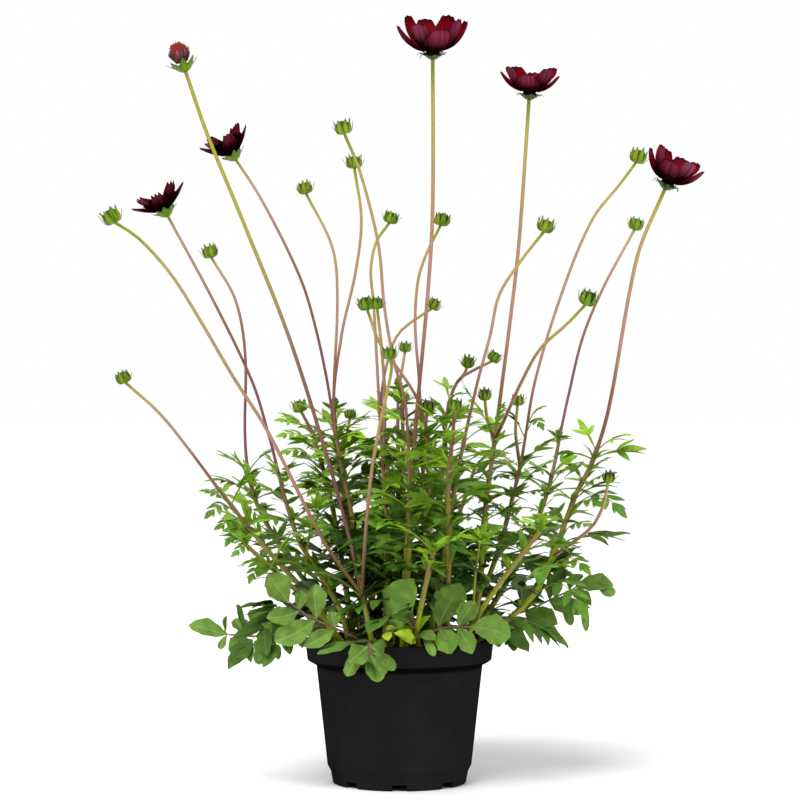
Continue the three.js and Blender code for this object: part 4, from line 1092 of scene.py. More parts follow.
def add_hanging(form, leaf, name, tint, draw):
    """A broad leaf's own further leaflets, from its midrib to where the photo shows their tips."""
    for given in HANGING.get(name, []):
        start = leaf["rib"](np.array(given["from"] * leaf["length"]))[0]
        own = placed_leaf(start, given)
        own.update(roll=1.9 * own["roll"], shape=LOBED_LEAF, fold=HANGING_FOLD)
        tone = tint * (0.95 + 0.4 * draw())
        add_leaflet(form, own, (0, 0), 0, own["length"], given["half"], tone, draw)


def add_placed(form, curve, number):
    """The leaves of a shoot that are set from the photo, and its whorl if it has one."""
    for k, given in enumerate(PLACED_LEAVES.get(number, [])):
        leaf = placed_leaf(curve.at(given["from"]), given)
        add_leaf(form, leaf, given["age"], PLACED_SEED + number * 20 + k, OLIVE)
    if number in WHORLS:
        given = WHORLS[number]
        start, end = curve.at(given["from"]), seen_at(*given["tip"])
        middle = (start + end) / 2 + (end - start) * [-0.1, -0.1, 0.1]
        places = curve_through([start, middle, end], 6)
        add_tube(form, places, np.linspace(1, 0.7, len(places)), 6, OLIVE, STEM)
        add_tuft(form, end, 0.05, WHORL_SEED + number * 20, WHORL_LEAVES, WHORL_LENGTH)
        add_tuft(form, places[len(places) * 2 // 3], 0.3, WHORL_STEM_SEED + number * 20, 5, 18)


# Stems.
def stalk_curve(given, first):
    start = [*given["foot"], STEM_START] if "foot" in given else first.at(given["from"])
    return Stalk(start, given["head"], given["front"])


def radius_rule(given, curve, leaf_top):
    """How thick a stalk is at a height: stout in its leafy part, then slim up to its head."""
    bears = given["bears"] or bud()
    slim = BLOOM_STALK_RADIUS
    if bears["kind"] == "bud" or bears["jagged"]:
        slim = BUD_STALK_RADIUS
    if "foot" not in given:
        return lambda z: slim + 0.25 * (1 - (z - curve.bottom) / (curve.top - curve.bottom))
    return lambda z: mixed(LEAFY_RADIUS, slim, min((z - STEM_START) / (leaf_top - STEM_START), 1))


def stem_tints(z, curve, leaf_top, number):
    """A stem's colours at heights: lime under the head, then by its shoot's tone, then darker."""
    draw = seeded_draws(STEM_SEED + number)
    down = (curve.top - z) / max(curve.top - leaf_top, 1)
    tone = "red" if number in RED_SHOOTS else "lime" if number in LIME_SHOOTS else "plain"
    low = (z - STEM_START) / max(leaf_top - STEM_START, 1)
    patches = 0.5 + 0.5 * np.sin(z / (9 + 8 * draw()) + 6 * draw())
    ripe = mixed(BROWN, TAN, 0.5 * draw())
    ripeness = (0.4 * patches + 0.35 * low) * (0.3 + draw())
    leafy = mixed(OLIVE * 1.1, ripe, ripeness[:, None])
    share = np.clip((z - 0.6 * leaf_top) / 90, 0, 1)[:, None]
    return mixed(leafy, blended(*BARE_STEM[tone], down), share)


def add_stem(form, given, curve, leaf_top, number, nodes):
    """One stalk, with a slight swelling at each leaf pair and its foot sunk in the soil."""
    radius_at = radius_rule(given, curve, leaf_top)
    z = np.linspace(curve.bottom, curve.top, max(int((curve.top - curve.bottom) / STEM_STEP), 6))
    path = np.array([curve.at(height) for height in z])
    radii = np.array([radius_at(height) for height in z])
    for node in nodes:
        radii += NODE_SWELLING * np.exp(-((z - node) / NODE_REACH) ** 2)
    if "foot" in given:
        path = np.concatenate([[path[0] - UP * STEM_DEPTH], path])
        radii = np.concatenate([radii[:1], radii])
        z = np.concatenate([[curve.bottom - STEM_DEPTH], z])
    tints = stem_tints(z, curve, leaf_top, number)
    add_tube(form, path, radii, STEM_SIDES, tints, STEM, STEM_RIBS)


# Heads.
def head_axis(curve, bears):
    if "lean" in bears:
        return unit(np.array([bears["lean"][0], bears["lean"][1], 1.0]))
    return unit(curve.direction_at(curve.top) + UP)


def add_turned(form, base, axis, profile, sides, tint, slot):
    """A solid turned about an axis. The profile's (radius, height) pairs start and end on it."""
    turns = 2 * np.pi * np.arange(sides) / sides
    inner = profile[1:-1]
    rings = [base + axis * height + out_from(axis, turns) * radius for radius, height in inner]
    poles = [base + axis * profile[0][1], base + axis * profile[-1][1]]
    points = np.concatenate([*rings, poles])
    places = np.zeros(points.shape)
    places[:-2, 0] = np.tile(turns, len(inner))
    places[:-2, 1] = np.repeat([height for radius, height in inner], sides)
    first = form.count
    form.add(points, tube_faces(len(inner), sides), tint, places, slot)
    foot, top = form.count - 2, form.count - 1
    last = foot - sides
    for k in range(sides):
        after = (k + 1) % sides
        form.faces.append([first + after, first + k, foot])
        form.faces.append([last + k, last + after, top])
    form.slots.extend([slot] * (2 * sides))


def add_scale(form, base, axis, profile, turn, half, tints, slot, thickness=SCALE_THICKNESS):
    """A pointed scale that follows a profile of (radius, height) pairs round an axis."""
    t = np.linspace(0, 1, 9)
    q = np.linspace(-1, 1, 5)
    places, slopes = along_curve(curve_through(profile, 8), t)
    radius, height = places[:, 0, None], places[:, 1, None]
    width = half * np.minimum(1, 0.6 + 1.2 * t) * (1.03 - t ** 2.6)
    turns = turn + q[None] * width[:, None] / np.maximum(radius, 1)
    out = out_from(axis, turns)
    points = base + out * radius[..., None] + axis * height[..., None]
    facing = unit(out * slopes[:, 1, None, None] - axis * slopes[:, 0, None, None])
    edge = 1 - 0.45 * q[None, :, None] ** 2
    shade = mixed(tints[0], tints[1], (t ** 2.4)[:, None, None]) * edge
    own = np.full((1, 1), turn * 7)
    spots = np.stack(np.broadcast_arrays(t[:, None] * 8, q[None] * width[:, None], own), axis=-1)
    add_lens(form, points, facing, thickness, (shade, shade), spots, (slot, slot))


def add_bud(form, base, axis, bears, draw):
    """A round bud: a crown of pointed scales round dark petals, and thin dark bracts."""
    size = bears["size"]
    ripe = 0.5 * draw()
    core = [
        (0, -0.6), (1.6, -0.2), (4, 1.4), (4.8, 3.8), (4.6, 6), (3.3, 7.4 + ripe),
        (0, 8.2 + 1.4 * ripe),
    ]
    tint = mixed(SCALE_GREEN * 0.4, PETAL_DARK * 0.6, 1.5 * ripe)
    add_turned(form, base, axis, sized(core, size), 14, tint, BUD)
    first = draw()
    spread = draw() ** 0.5
    for k in range(SCALE_COUNT):
        turn = first + 2 * np.pi * (k + 0.2 * draw()) / SCALE_COUNT
        lift = 0.3 if k % 2 else 0
        top = 9 - 0.6 * ripe + 1.3 * draw() - 0.4 * lift
        profile = [
            (1.1, 0.2), (3.6 + lift, 0.1), (5.1 + lift, 2.5), (5.2 + lift, 5),
            (mixed(4.4, 5.2, spread) + lift, 7), (mixed(3.9, 6, spread) + 0.8 * draw(), top),
        ]
        green = mixed(SCALE_GREEN, LIME, draw()) * (0.85 + 0.3 * draw())
        tints = (green * 1.15, mixed(green * 0.9, SCALE_DARK, 0.1 + 0.45 * draw()))
        add_scale(form, base, axis, sized(profile, size), turn, 2.3 * size, tints, BUD)
    for k in range(BRACT_COUNT):
        turn = first + 2 * np.pi * (k + 0.5 + 0.4 * draw()) / BRACT_COUNT
        reach = 6.4 + 1.4 * draw()
        rise = 4.2 + 3.4 * draw()
        bract = [(1.5, -0.3), (4.4, 0.3), (6.1, 2.6), (reach, rise), (reach + 0.9, rise + 1.3)]
        tints = (SCALE_GREEN * 0.8, SCALE_DARK)
        add_scale(form, base, axis, sized(bract, size), turn, 0.5 * size, tints, BUD, BRACT_THICKNESS)


def add_cup(form, base, axis, bears, draw):
    """The cup under a flower: pointed scales, green or in the petals' shade, and dark bracts."""
    spent = bears["kind"] == "spent"
    green_cup = spent or bears["jagged"] > 0
    slope = math.tan((bears["pitch"] + 8) * DEGREE)
    cup = [(0, -1.4), (1.5, -1.2), (3.5, 0.3), (5.4, 2.3), (7, 2.3 + 1.6 * slope), (3, 4.2), (0, 4.4)]
    add_turned(form, base, axis, cup, 20, SCALE_GREEN * (0.5 if green_cup else 0.2), BUD)
    for k in range(SCALE_COUNT):
        turn = 2 * np.pi * (k + 0.3 * draw()) / SCALE_COUNT
        green = mixed(SCALE_GREEN, LIME, 0.4 * draw()) * (0.95 if green_cup else 0.35)
        reach = (4.6 if spent else 3.6) + 1.6 * draw()
        profile = [
            (1.5, -1), (3.6, 0.1), (5.5, 2.1), (5.5 + 0.5 * reach, 2.1 + 0.5 * reach * slope),
            (5.5 + reach, 2.3 + reach * slope),
        ]
        tints = (green, mixed(green, SCALE_DARK, 0.5 if green_cup else 0.9))
        add_scale(form, base, axis, profile, turn, 3.2 if green_cup else 3, tints, BUD)
        if not green_cup:
            far, fall = 7.5 + 2.5 * draw(), 3 * draw()
            bract = [(4, 0.8), (6.5, 2.1), (far, 2.8), (far + 1.5, 2.4 - fall)]
            tints = (SCALE_DARK, SCALE_DARK * 0.5)
            add_scale(form, base, axis, bract, turn + 0.4, 0.9, tints, BUD, BRACT_THICKNESS)


def petal_half(t, half):
    """The half width of a petal along it."""
    rise = PETAL_ROOT + (half - PETAL_ROOT) * np.sin(np.minimum(t / PETAL_BROADEST, 1) * np.pi / 2)
    past = np.maximum(t - PETAL_BROADEST, 0) / (1 - PETAL_BROADEST)
    return rise * (1 - PETAL_TAPER * past ** 2)


def add_claws(form, seat, axis, bears):
    """The dark overlapping feet of the petals: a thin dish between the two rings."""
    r = np.linspace(PETAL_RING, PETAL_RING + CLAW_REACH * bears["length"], 6)
    pitch = (bears["pitch"] + 0.5 * INNER_PITCH) * DEGREE
    slope = np.tan(pitch + 0.6 * (r - PETAL_RING) / bears["length"])
    under = [(x, 0.9 + (x - PETAL_RING) * up) for x, up in zip(r, slope)]
    over = [(x - 0.3, height + 0.4) for x, height in under[::-1]]
    dish = [(0, -2.2), (3.4, -2.1), (4.4, -0.6), *under, *over, (2.5, 1.5), (0, 1.6)]
    add_turned(form, seat, axis, dish, 32, PETAL_BLACK, OUTSIDE)


def add_petals(form, base, axis, bears):
    """The petals' ring: all are cupped and every second one is raised. Their tips are notched, and their
    outsides carry a painted mauve sheen.
    """
    draw = seeded_draws(bears["seed"])
    folds = seeded_draws(bears["seed"] + FOLD_SEED)
    seat = base + axis * PETAL_SEAT
    add_claws(form, seat, axis, bears)
    t = np.linspace(0, 1, PETAL_ROWS)[:, None]
    q = np.linspace(-1, 1, PETAL_COLUMNS)[None]
    for k in range(PETAL_COUNT):
        out = out_from(axis, bears["turn"] * DEGREE + 2 * np.pi * k / PETAL_COUNT)
        raised = k % 2
        length = bears["length"] * (0.93 + 0.14 * draw())
        pitch = (bears["pitch"] + 5 * (draw() - 0.5) + INNER_PITCH * raised) * DEGREE
        notch = PETAL_NOTCH * (0.4 + 0.9 * folds() + 4 * bears["jagged"])
        skew = 0.12 * (folds() - 0.5)
        teeth = np.sin(1.5 * np.pi * (q + skew)) ** 2
        s = t * (1 - 0.03 * q ** 2 - 0.17 * q ** 6 - notch * teeth)
        mean = pitch + bears["curl"] * DEGREE * 0.5 * s
        now = (pitch + bears["curl"] * DEGREE * s)[..., None]
        v = q * petal_half(t, bears["width"] / 2)
        facing = axis * np.cos(now) - out * np.sin(now)
        lift = 0.6 + INNER_LIFT * raised
        pleat = PETAL_PLEAT * np.cos(2.5 * np.pi * q) * np.sin(np.pi * np.minimum(1.15 * t, 1))
        wave = 0.6 * q ** 2 * t * np.sin(7 * t + 6 * folds()) * np.sign(q)
        rise = bears["cup"] * (2 * v / bears["width"]) ** 2 + pleat + wave
        points = (
            seat + out * (PETAL_RING + s * length * np.cos(mean))[..., None]
            + axis * (lift + s * length * np.sin(mean))[..., None]
            + np.cross(axis, out) * v[..., None] + facing * rise[..., None]
        )
        tone = (0.8 + 0.4 * folds()) * (0.6 if bears["jagged"] else 1)
        inside = blended(*PETAL_INSIDE, t) * tone
        outside = blended(*PETAL_OUTSIDE, t) * tone
        # Painted sheen: a mauve highlight painted along the upper middle of each petal's outside, stronger
        # on petals that face the front.
        sheen_zone = np.clip((s - 0.45) / 0.35, 0, 1) * np.clip((1 - np.abs(q)) / 0.5, 0, 1)
        grain = np.array([folds() for column in range(q.size)])
        front = 0.08 + 0.42 * folds() + 0.2 * max(-out[1], 0)
        share = front * tone * sheen_zone * (0.25 + 0.75 * grain)
        tints = (inside, mixed(outside, PETAL_SHEEN_MAUVE, share[..., None]))
        own = np.array(7.0 * k + bears["seed"])
        spots = np.stack(np.broadcast_arrays(s * length, v, own), axis=-1)
        add_lens(form, points, facing, PETAL_THICKNESS, tints, spots, (INSIDE, OUTSIDE))


def add_disc(form, base, axis, seed):
    """The flower's middle: small dark florets, most of the outer ones with tan anthers."""
    draw = seeded_draws(seed)
    dome = [(0, 5.2), (3.2, 5.4), (DISC_RADIUS, 6.9), (3, 8.8), (1.6, 9.8), (0, 10.1)]
    add_turned(form, base, axis, dome, 16, FLORET_DARK, FLORET)
    for k in range(FLORET_COUNT):
        part = (k + 0.5) / FLORET_COUNT
        out = out_from(axis, GOLDEN_TURN * k)
        radius = DISC_RADIUS * math.sqrt(part)
        foot = base + axis * (9.8 - 2.2 * part) + out * radius
        lean = unit(axis + out * (0.2 + 0.6 * part) + 0.15 * (draw() - 0.5))
        tall = 1.2 + 1.6 * part * (0.6 + 0.6 * draw())
        path = foot + lean * (np.array([-0.6, 0.4, 0.75, 1.0])[:, None] * tall)
        tip = ANTHER if part > 0.3 and draw() > 0.3 else FLORET_DARK * 1.6
        tints = np.array([FLORET_DARK, FLORET_DARK, tip, tip])
        add_tube(form, path, [0.3, 0.34, 0.42, 0.2], 5, tints, FLORET)


def add_spent(form, base, axis):
    """The spent head: a shaggy orange-red dome, with shrivelled dark petals round it."""
    draw = seeded_draws(SPENT_SEED)
    dome = [(0, 6), (4.4, 6.2), (5.6, 9), (5.9, 12), (4.8, 15.6), (2.6, 17.8), (0, 18.6)]
    add_turned(form, base, axis, dome, 18, SPENT_RED * 0.5, FLORET)
    for k in range(SPENT_FLORETS):
        part = (k + 0.5) / SPENT_FLORETS
        out = out_from(axis, GOLDEN_TURN * k)
        polar = part * SPENT_SPAN
        facing = axis * math.cos(polar) + out * math.sin(polar)
        foot = base + axis * (12 + 5.4 * math.cos(polar)) + out * 5.3 * math.sin(polar)
        bent = unit(facing + 0.5 * axis + 0.6 * np.array([draw() - 0.5, draw() - 0.5, draw() - 0.3]))
        reach = 1.6 + 1.7 * draw()
        path = np.array([foot - facing * 0.5, foot + facing * reach * 0.5, foot + bent * reach])
        tint = blended(*SPENT_TONES, part * 0.7 + 0.4 * draw())
        add_tube(form, path, [0.5, 0.42, 0.2], 4, tint * (0.8 + 0.6 * draw()), FLORET)
    for k in range(WITHERED_COUNT):
        turn = 2 * np.pi * (k + 0.5 * draw()) / WITHERED_COUNT
        top = 11.5 + 3.2 * draw()
        profile = [(3, 6.4), (5 + draw(), 8.6), (6.4 + 1.4 * draw(), top - 1.6), (5.6 + 2.4 * draw(), top)]
        # Painted sheen: toward their tips some withered petals take a painted mauve highlight.
        tints = (SPENT_PURPLE, mixed(SPENT_PURPLE, PETAL_SHEEN_MAUVE * 1.6, draw()))
        half = 1.2 + 0.5 * draw()
        add_scale(form, base, axis, profile, turn, half, tints, FLORET, WITHERED_THICKNESS)


# Whole pieces of the plant.
def add_head(form, base, axis, bears, number, materials):
    """What a stalk bears: green parts go to its shoot's form, and the rest are pieces of their own."""
    draw = seeded_draws(HEAD_SEED + number)
    if bears["kind"] == "bud":
        add_bud(form, base, axis, bears, draw)
        return
    add_cup(form, base, axis, bears, draw)
    if bears["kind"] == "spent":
        spent = Form()
        add_spent(spent, base, axis)
        show(spent, "spent_head", [materials["spent"]])
        return
    petals, disc = Form(), Form()
    add_petals(petals, base, axis, bears)
    add_disc(disc, base, axis, bears["seed"])
    faces = [materials["petal_inside"], materials["petal_outside"]]
    show(petals, f"{bears['name']}_petals", faces)
    show(disc, f"{bears['name']}_disc", [materials["floret"]])


def add_shoot(given, number, materials):
    """One shoot's stalks, heads and leaves, in the place of its solid."""
    form = Form()
    leaves, stalks = given["leaves"], given["stalks"]
    first = stalk_curve(stalks[0], None)
    own = list(solid_leaves(number, first, leaves))
    more = list(extra_leaves(number, first, leaves))
    nodes = sorted({z for z, leaf in own + more})
    add_stem(form, stalks[0], first, leaves["high"] + LEAFY_MARGIN, number, nodes)
    for k, side in enumerate(stalks):
        curve = stalk_curve(side, first)
        if k > 0:
            add_stem(form, side, curve, curve.bottom, 0, [])
        if side["bears"]:
            axis = head_axis(curve, side["bears"])
            add_head(form, curve.at(curve.top), axis, side["bears"], number * 4 + k, materials)
    height = max(leaves["high"] - LOWEST_LEAF, 30)
    for k, (z, leaf) in enumerate(own + more):
        age = np.clip(1.1 - (z - LOWEST_LEAF) / height, 0, 1)
        add_leaf(form, leaf, age, number * 50 + k, mixed(OLIVE, RACHIS, age))
    for k, z in enumerate(nodes):
        if z < leaves["high"] - 5:
            seed = TUFT_SEED + number * 40 + k
            add_tuft(form, first.at(z), 0.1 + 0.25 * (k % 3), seed, TUFT_LEAVES, TUFT_LENGTH)
    add_placed(form, first, number)
    if not stalks[0]["bears"]:
        add_tuft(form, first.at(first.top - 1), 0.2, TIP_SEED + number, TIP_LEAVES, TUFT_LENGTH)
    show(form, f"shoot_{number}", [materials["stem"], materials["leaf"], materials["bud"]])


def add_broad_leaf(given, number, materials):
    """A broad leaf from the soil, in the place of its solid."""
    form = Form()
    length = given["length"]
    draw = seeded_draws(BROAD_SEED + number)
    pairs = [
        {
            "at": at * length + max(0.35 * half, 0.8), "left": left, "right": right,
            "angle": angle * DEGREE, "half": BROAD_LEAF_GAIN * half,
        }
        for at, left, right, angle, half in given["pairs"]
    ]
    tint = YELLOW_LEAF
    if not given["yellow"]:
        tint = mixed(BASAL_LIGHT, BASAL_DARK, draw()) * (0.85 + 0.3 * draw())
    leaf = {
        "rib": routed_rib(given["route"], length), "roll": given["roll"] * DEGREE,
        "droop": BASAL_DROOP, "length": length, "pairs": pairs, "end_at": given["end_at"] * length,
        "end_half": BROAD_LEAF_GAIN * given["end_half"], "rachis": 1.1, "tint": tint,
        "shape": ROUNDED_LEAF, "fold": BROAD_LEAF_FOLD,
    }
    add_leaf(form, leaf, 0.8, BROAD_LEAF_SEED + number, mixed(RACHIS, PURPLE, draw()))
    add_hanging(form, leaf, given["name"], tint, draw)
    show(form, given["name"], [materials["stem"], materials["broad_leaf"]])


def show(form, node, materials):
    """The form as a piece that stands for its solid."""
    piece = form.piece(f"{node}_look", materials)
    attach(piece, "root")
    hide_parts(node)


# The pot and the soil.
def arc(middle, radius, start, end, steps=5):
    """Places on an arc in the pot's section, between two angles."""
    turns = np.linspace(start, end, steps) * DEGREE
    return [(middle[0] + radius * math.cos(t), middle[1] + radius * math.sin(t)) for t in turns]


def pot_profile():
    """The pot's section, from the middle of its base out, up its outside and down its inside."""
    inner_top = BODY_TOP_RADIUS - WALL
    inner_low = BODY_BOTTOM_RADIUS - WALL
    floor = BASE_RAISE + BASE_THICKNESS
    rim = WALL / 2
    return [
        (0, 0), (HUB_RADIUS, 0), (HUB_RADIUS + 1, BASE_RAISE), (FOOT_RING_INNER - 1, BASE_RAISE),
        (FOOT_RING_INNER, 0), *arc((FOOT_RADIUS - FOOT_EDGE, FOOT_EDGE), FOOT_EDGE, -90, 0),
        (FOOT_BAND_RADIUS - 0.3, FOOT_BAND_TOP - 0.5), (FOOT_BAND_RADIUS, FOOT_BAND_TOP + 0.6),
        (BODY_BOTTOM_RADIUS - 0.4, BODY_BOTTOM - 0.9), (BODY_BOTTOM_RADIUS, BODY_BOTTOM),
        (BODY_TOP_RADIUS, BODY_TOP), (BODY_TOP_RADIUS + 0.5, BODY_TOP + 0.5),
        (COLLAR_RADIUS - 0.9, COLLAR_BOTTOM - 0.3), (COLLAR_RADIUS, COLLAR_BOTTOM + 0.5),
        (RIM_RADIUS - 0.35, POT_HEIGHT - 4), (RIM_RADIUS, POT_HEIGHT - 3.2),
        *arc((RIM_RADIUS - rim, POT_HEIGHT - rim), rim, 0, 180, 7),
        (RIM_RADIUS - WALL - 0.1, POT_HEIGHT - 3), (COLLAR_RADIUS - WALL, COLLAR_BOTTOM + WALL),
        (inner_top + 0.4, BODY_TOP + 1.7), (inner_top, BODY_TOP + 0.9), (inner_low, BODY_BOTTOM),
        (FOOT_BAND_RADIUS - 2.4, floor), (0, floor),
    ]


def carve(piece, cutters):
    """Cuts the cutters' shapes out of the piece and leaves it a plain mesh."""
    for cutter in cutters:
        cut = piece.modifiers.new("cut", "BOOLEAN")
        cut.operation = "DIFFERENCE"
        cut.solver = "EXACT"
        cut.object = cutter
    graph = bpy.context.evaluated_depsgraph_get()
    mesh = bpy.data.meshes.new_from_object(piece.evaluated_get(graph))
    piece.modifiers.clear()
    piece.data = mesh
    for cutter in cutters:
        bpy.data.objects.remove(cutter)


def block(size, place, turn):
    """A plain block for cutting, turned about the upright axis."""
    half = np.array(size) / 2
    signs = np.array([[x, y, z] for x in (-1, 1) for y in (-1, 1) for z in (-1, 1)])
    points = signs * half + np.array(place)
    spun = turned(points, np.broadcast_to(UP, points.shape), turn)
    faces = [[0, 1, 3, 2], [4, 6, 7, 5], [0, 4, 5, 1], [2, 3, 7, 6], [0, 2, 6, 4], [1, 5, 7, 3]]
    form = Form()
    form.add(spun, faces, SCALE_DARK, np.zeros(3), 0)
    return form.piece("cutter", [])


def drain(turn):
    """A round cutter through the base for one drainage hole."""
    form = Form()
    base = np.array([DRAIN_CIRCLE * math.cos(turn), DRAIN_CIRCLE * math.sin(turn), 0])
    low, high = DRAIN_CUT
    profile = [(0, low), (DRAIN_RADIUS, low), (DRAIN_RADIUS, high), (0, high)]
    add_turned(form, base, UP, profile, 20, SCALE_DARK, 0)
    return form.piece("cutter", [])


def add_pot(materials):
    """The pot, with the notches of its foot and its drainage holes cut out."""
    form = Form()
    add_turned(form, np.zeros(3), UP, pot_profile(), POT_SEGMENTS, SCALE_DARK, 0)
    pot = form.piece("pot_look", [materials["pot"]])
    middle = (FOOT_RADIUS + FOOT_RING_INNER) / 2
    notches = [
        block((NOTCH_WIDTH, NOTCH_DEPTH, 2 * NOTCH_HEIGHT), (0, -middle, 0), 2 * math.pi * k / NOTCH_COUNT)
        for k in range(NOTCH_COUNT)
    ]
    drains = [drain((k + 0.5) * 360 / DRAIN_COUNT * DEGREE) for k in range(DRAIN_COUNT)]
    carve(pot, notches + drains)
    pot.data.set_sharp_from_angle(angle=POT_SHARP_ANGLE * DEGREE)
    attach(pot, "root")
    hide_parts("pot")


def soil_height(x, y):
    """The soil's surface: a low dome, with lumps at three sizes."""
    far = np.hypot(x, y) / SOIL_RADIUS
    coarse = 0.5 * np.sin(0.21 * x + 1) * np.sin(0.24 * y)
    lumps = coarse + 0.45 * np.sin(0.6 * x - 0.4 * y) * np.sin(0.5 * y + 2)
    fine = 0.4 * np.sin(1.7 * x + 0.9 * y) * np.sin(1.5 * y - x)
    return SOIL_TOP + SOIL_DOME * (1 - far ** 2) - 0.5 + lumps + fine


def add_soil(materials):
    """The compost: an uneven round surface with crumbs on it, closed below."""
    form = Form()
    radius = np.linspace(SOIL_RADIUS, 0.6, SOIL_RINGS)[:, None]
    turns = (2 * np.pi * np.arange(SOIL_SEGMENTS) / SOIL_SEGMENTS)[None]
    x, y = radius * np.cos(turns), radius * np.sin(turns)
    top = np.stack([x, y, soil_height(x, y)], axis=-1)
    narrow = SOIL_UNDERSIDE_RADIUS / SOIL_RADIUS
    low = top[:1] * np.array([narrow, narrow, 0]) + np.array([0, 0, SOIL_UNDERSIDE])
    grid = np.concatenate([low, top])
    faces = tube_faces(len(grid), SOIL_SEGMENTS)
    form.add(grid.reshape(-1, 3), faces, SOIL_BROWN, np.zeros(3), 0)
    form.cap(0, SOIL_SEGMENTS, 0)
    draw = seeded_draws(SOIL_SEED)
    for k in range(CRUMB_COUNT):
        far = (SOIL_RADIUS - 2) * math.sqrt(draw())
        turn = 2 * math.pi * draw()
        spot = np.array([far * math.cos(turn), far * math.sin(turn), 0])
        size = 0.5 + 1.5 * draw() ** 2
        spot[2] = soil_height(spot[0], spot[1]) + 0.2 * size
        add_crumb(form, spot, size, draw)
    show(form, "soil", [materials["soil"]])


def add_crumb(form, place, size, draw):
    """A small rough lump, or now and then a fleck of bark or a pale grain."""
    flat = 0.4 + 0.5 * draw()
    lean = unit(np.array([draw() - 0.5, draw() - 0.5, 1.2]))
    profile = [(0, -flat), (0.75, -0.5 * flat), (1, 0.1), (0.6, 0.7 * flat), (0, flat)]
    profile = [(radius * size * (0.8 + 0.4 * draw()), height * size) for radius, height in profile]
    tint = SOIL_BROWN * (0.6 + 1.3 * draw())
    if draw() > PALE_CRUMBS_FROM:
        tint = SOIL_PALE
    add_turned(form, place, lean, profile, 6, tint, 0)


# Materials.
class Look:
    """A material under way: its shader, and short ways to add the nodes that feed it."""

    def __init__(self, name, values=None):
        self.material = bpy.data.materials.new(name)
        self.material.use_nodes = True
        self.tree = self.material.node_tree
        self.shader = self.tree.nodes["Principled BSDF"]
        for socket, value in (values or {}).items():
            self.shader.inputs[socket].default_value = value

    def node(self, kind, inputs, **settings):
        node = self.tree.nodes.new(kind)
        for key, value in settings.items():
            setattr(node, key, value)
        for key, value in inputs.items():
            self.feed(node.inputs[key], value)
        return node

    def feed(self, socket, value):
        if isinstance(value, bpy.types.NodeSocket):
            self.tree.links.new(value, socket)
        else:
            socket.default_value = value

    def attribute(self, name, output):
        return self.node("ShaderNodeAttribute", {}, attribute_name=name).outputs[output]

    def math(self, operation, a, b=0.0):
        return self.node("ShaderNodeMath", {0: a, 1: b}, operation=operation).outputs[0]

    def times(self, a, b):
        return self.math("MULTIPLY", a, b)

    def parts(self, vector):
        return self.node("ShaderNodeSeparateXYZ", {0: vector}).outputs[:3]

    def place(self):
        """The parts of a point's place: along, across and a number that is its leaf's own."""
        return self.parts(self.attribute("place", "Vector"))

    def vector(self, x, y, z):
        return self.node("ShaderNodeCombineXYZ", {0: x, 1: y, 2: z}).outputs[0]

    def object_place(self):
        return self.node("ShaderNodeTexCoord", {}).outputs["Object"]

    def noise(self, vector, scale, detail=3.0, roughness=0.55):
        inputs = {"Vector": vector, "Scale": scale, "Detail": detail, "Roughness": roughness}
        return self.node("ShaderNodeTexNoise", inputs).outputs[0]

    def streaks(self, first, second, scale, detail=3.0):
        """A noise drawn out along a piece: its place's first two parts are multiplied."""
        one, other, own = self.place()
        stretched = self.vector(self.times(one, first), self.times(other, second), own)
        return self.noise(stretched, scale, detail)

    def cells(self, vector, scale):
        """How far a point is from the nearest edge of a net of cells."""
        inputs = {"Vector": vector, "Scale": scale}
        return self.node("ShaderNodeTexVoronoi", inputs, feature="DISTANCE_TO_EDGE").outputs["Distance"]

    def ranged(self, value, low, high, to_low, to_high):
        inputs = {0: value, 1: low, 2: high, 3: to_low, 4: to_high}
        return self.node("ShaderNodeMapRange", inputs).outputs[0]

    def mixed(self, part, a, b, blend="MIX"):
        """Two colours mixed. The node takes them at 6 and 7 and gives the result at 2."""
        inputs = {0: part, 6: a, 7: b}
        return self.node("ShaderNodeMix", inputs, data_type="RGBA", blend_type=blend).outputs[2]

    def scaled(self, colour_socket, factor):
        """A colour made lighter or darker by a factor from the nodes."""
        return self.mixed(1.0, colour_socket, self.vector(factor, factor, factor), "MULTIPLY")

    def toned(self, value, low, high, darkest, lightest):
        """The piece's own tint, darker and lighter as a value goes from low to high."""
        factor = self.ranged(value, low, high, darkest, lightest)
        return self.scaled(self.attribute("tint", "Color"), factor)

    def bump(self, height, strength, depth):
        inputs = {"Height": height, "Strength": strength, "Distance": depth * MM}
        self.feed(self.shader.inputs["Normal"], self.node("ShaderNodeBump", inputs).outputs[0])

    def finish(self, colour_socket, roughness):
        self.feed(self.shader.inputs["Base Color"], colour_socket)
        self.feed(self.shader.inputs["Roughness"], roughness)
        return self.material


def rgba(tint):
    """A colour as a material takes it, with nothing seen through it."""
    return (*tint, 1.0)


def stem_material():
    """Stems: fine streaks along them, small purple-brown flecks and a slight gloss."""
    look = Look("stem", {"Specular IOR Level": 0.3})
    streaks = look.streaks(2.2, 0.06, 1.6)
    flecks = look.noise(look.object_place(), 420, 2)
    plain = look.toned(streaks, 0.25, 0.75, 0.72, 1.3)
    spotted = look.mixed(look.ranged(flecks, 0.6, 0.75, 0, 0.45), plain, rgba(PURPLE))
    look.bump(look.math("ADD", streaks, look.times(flecks, 0.4)), 0.35, 0.3)
    return look.finish(spotted, look.ranged(streaks, 0.2, 0.8, 0.38, 0.55))


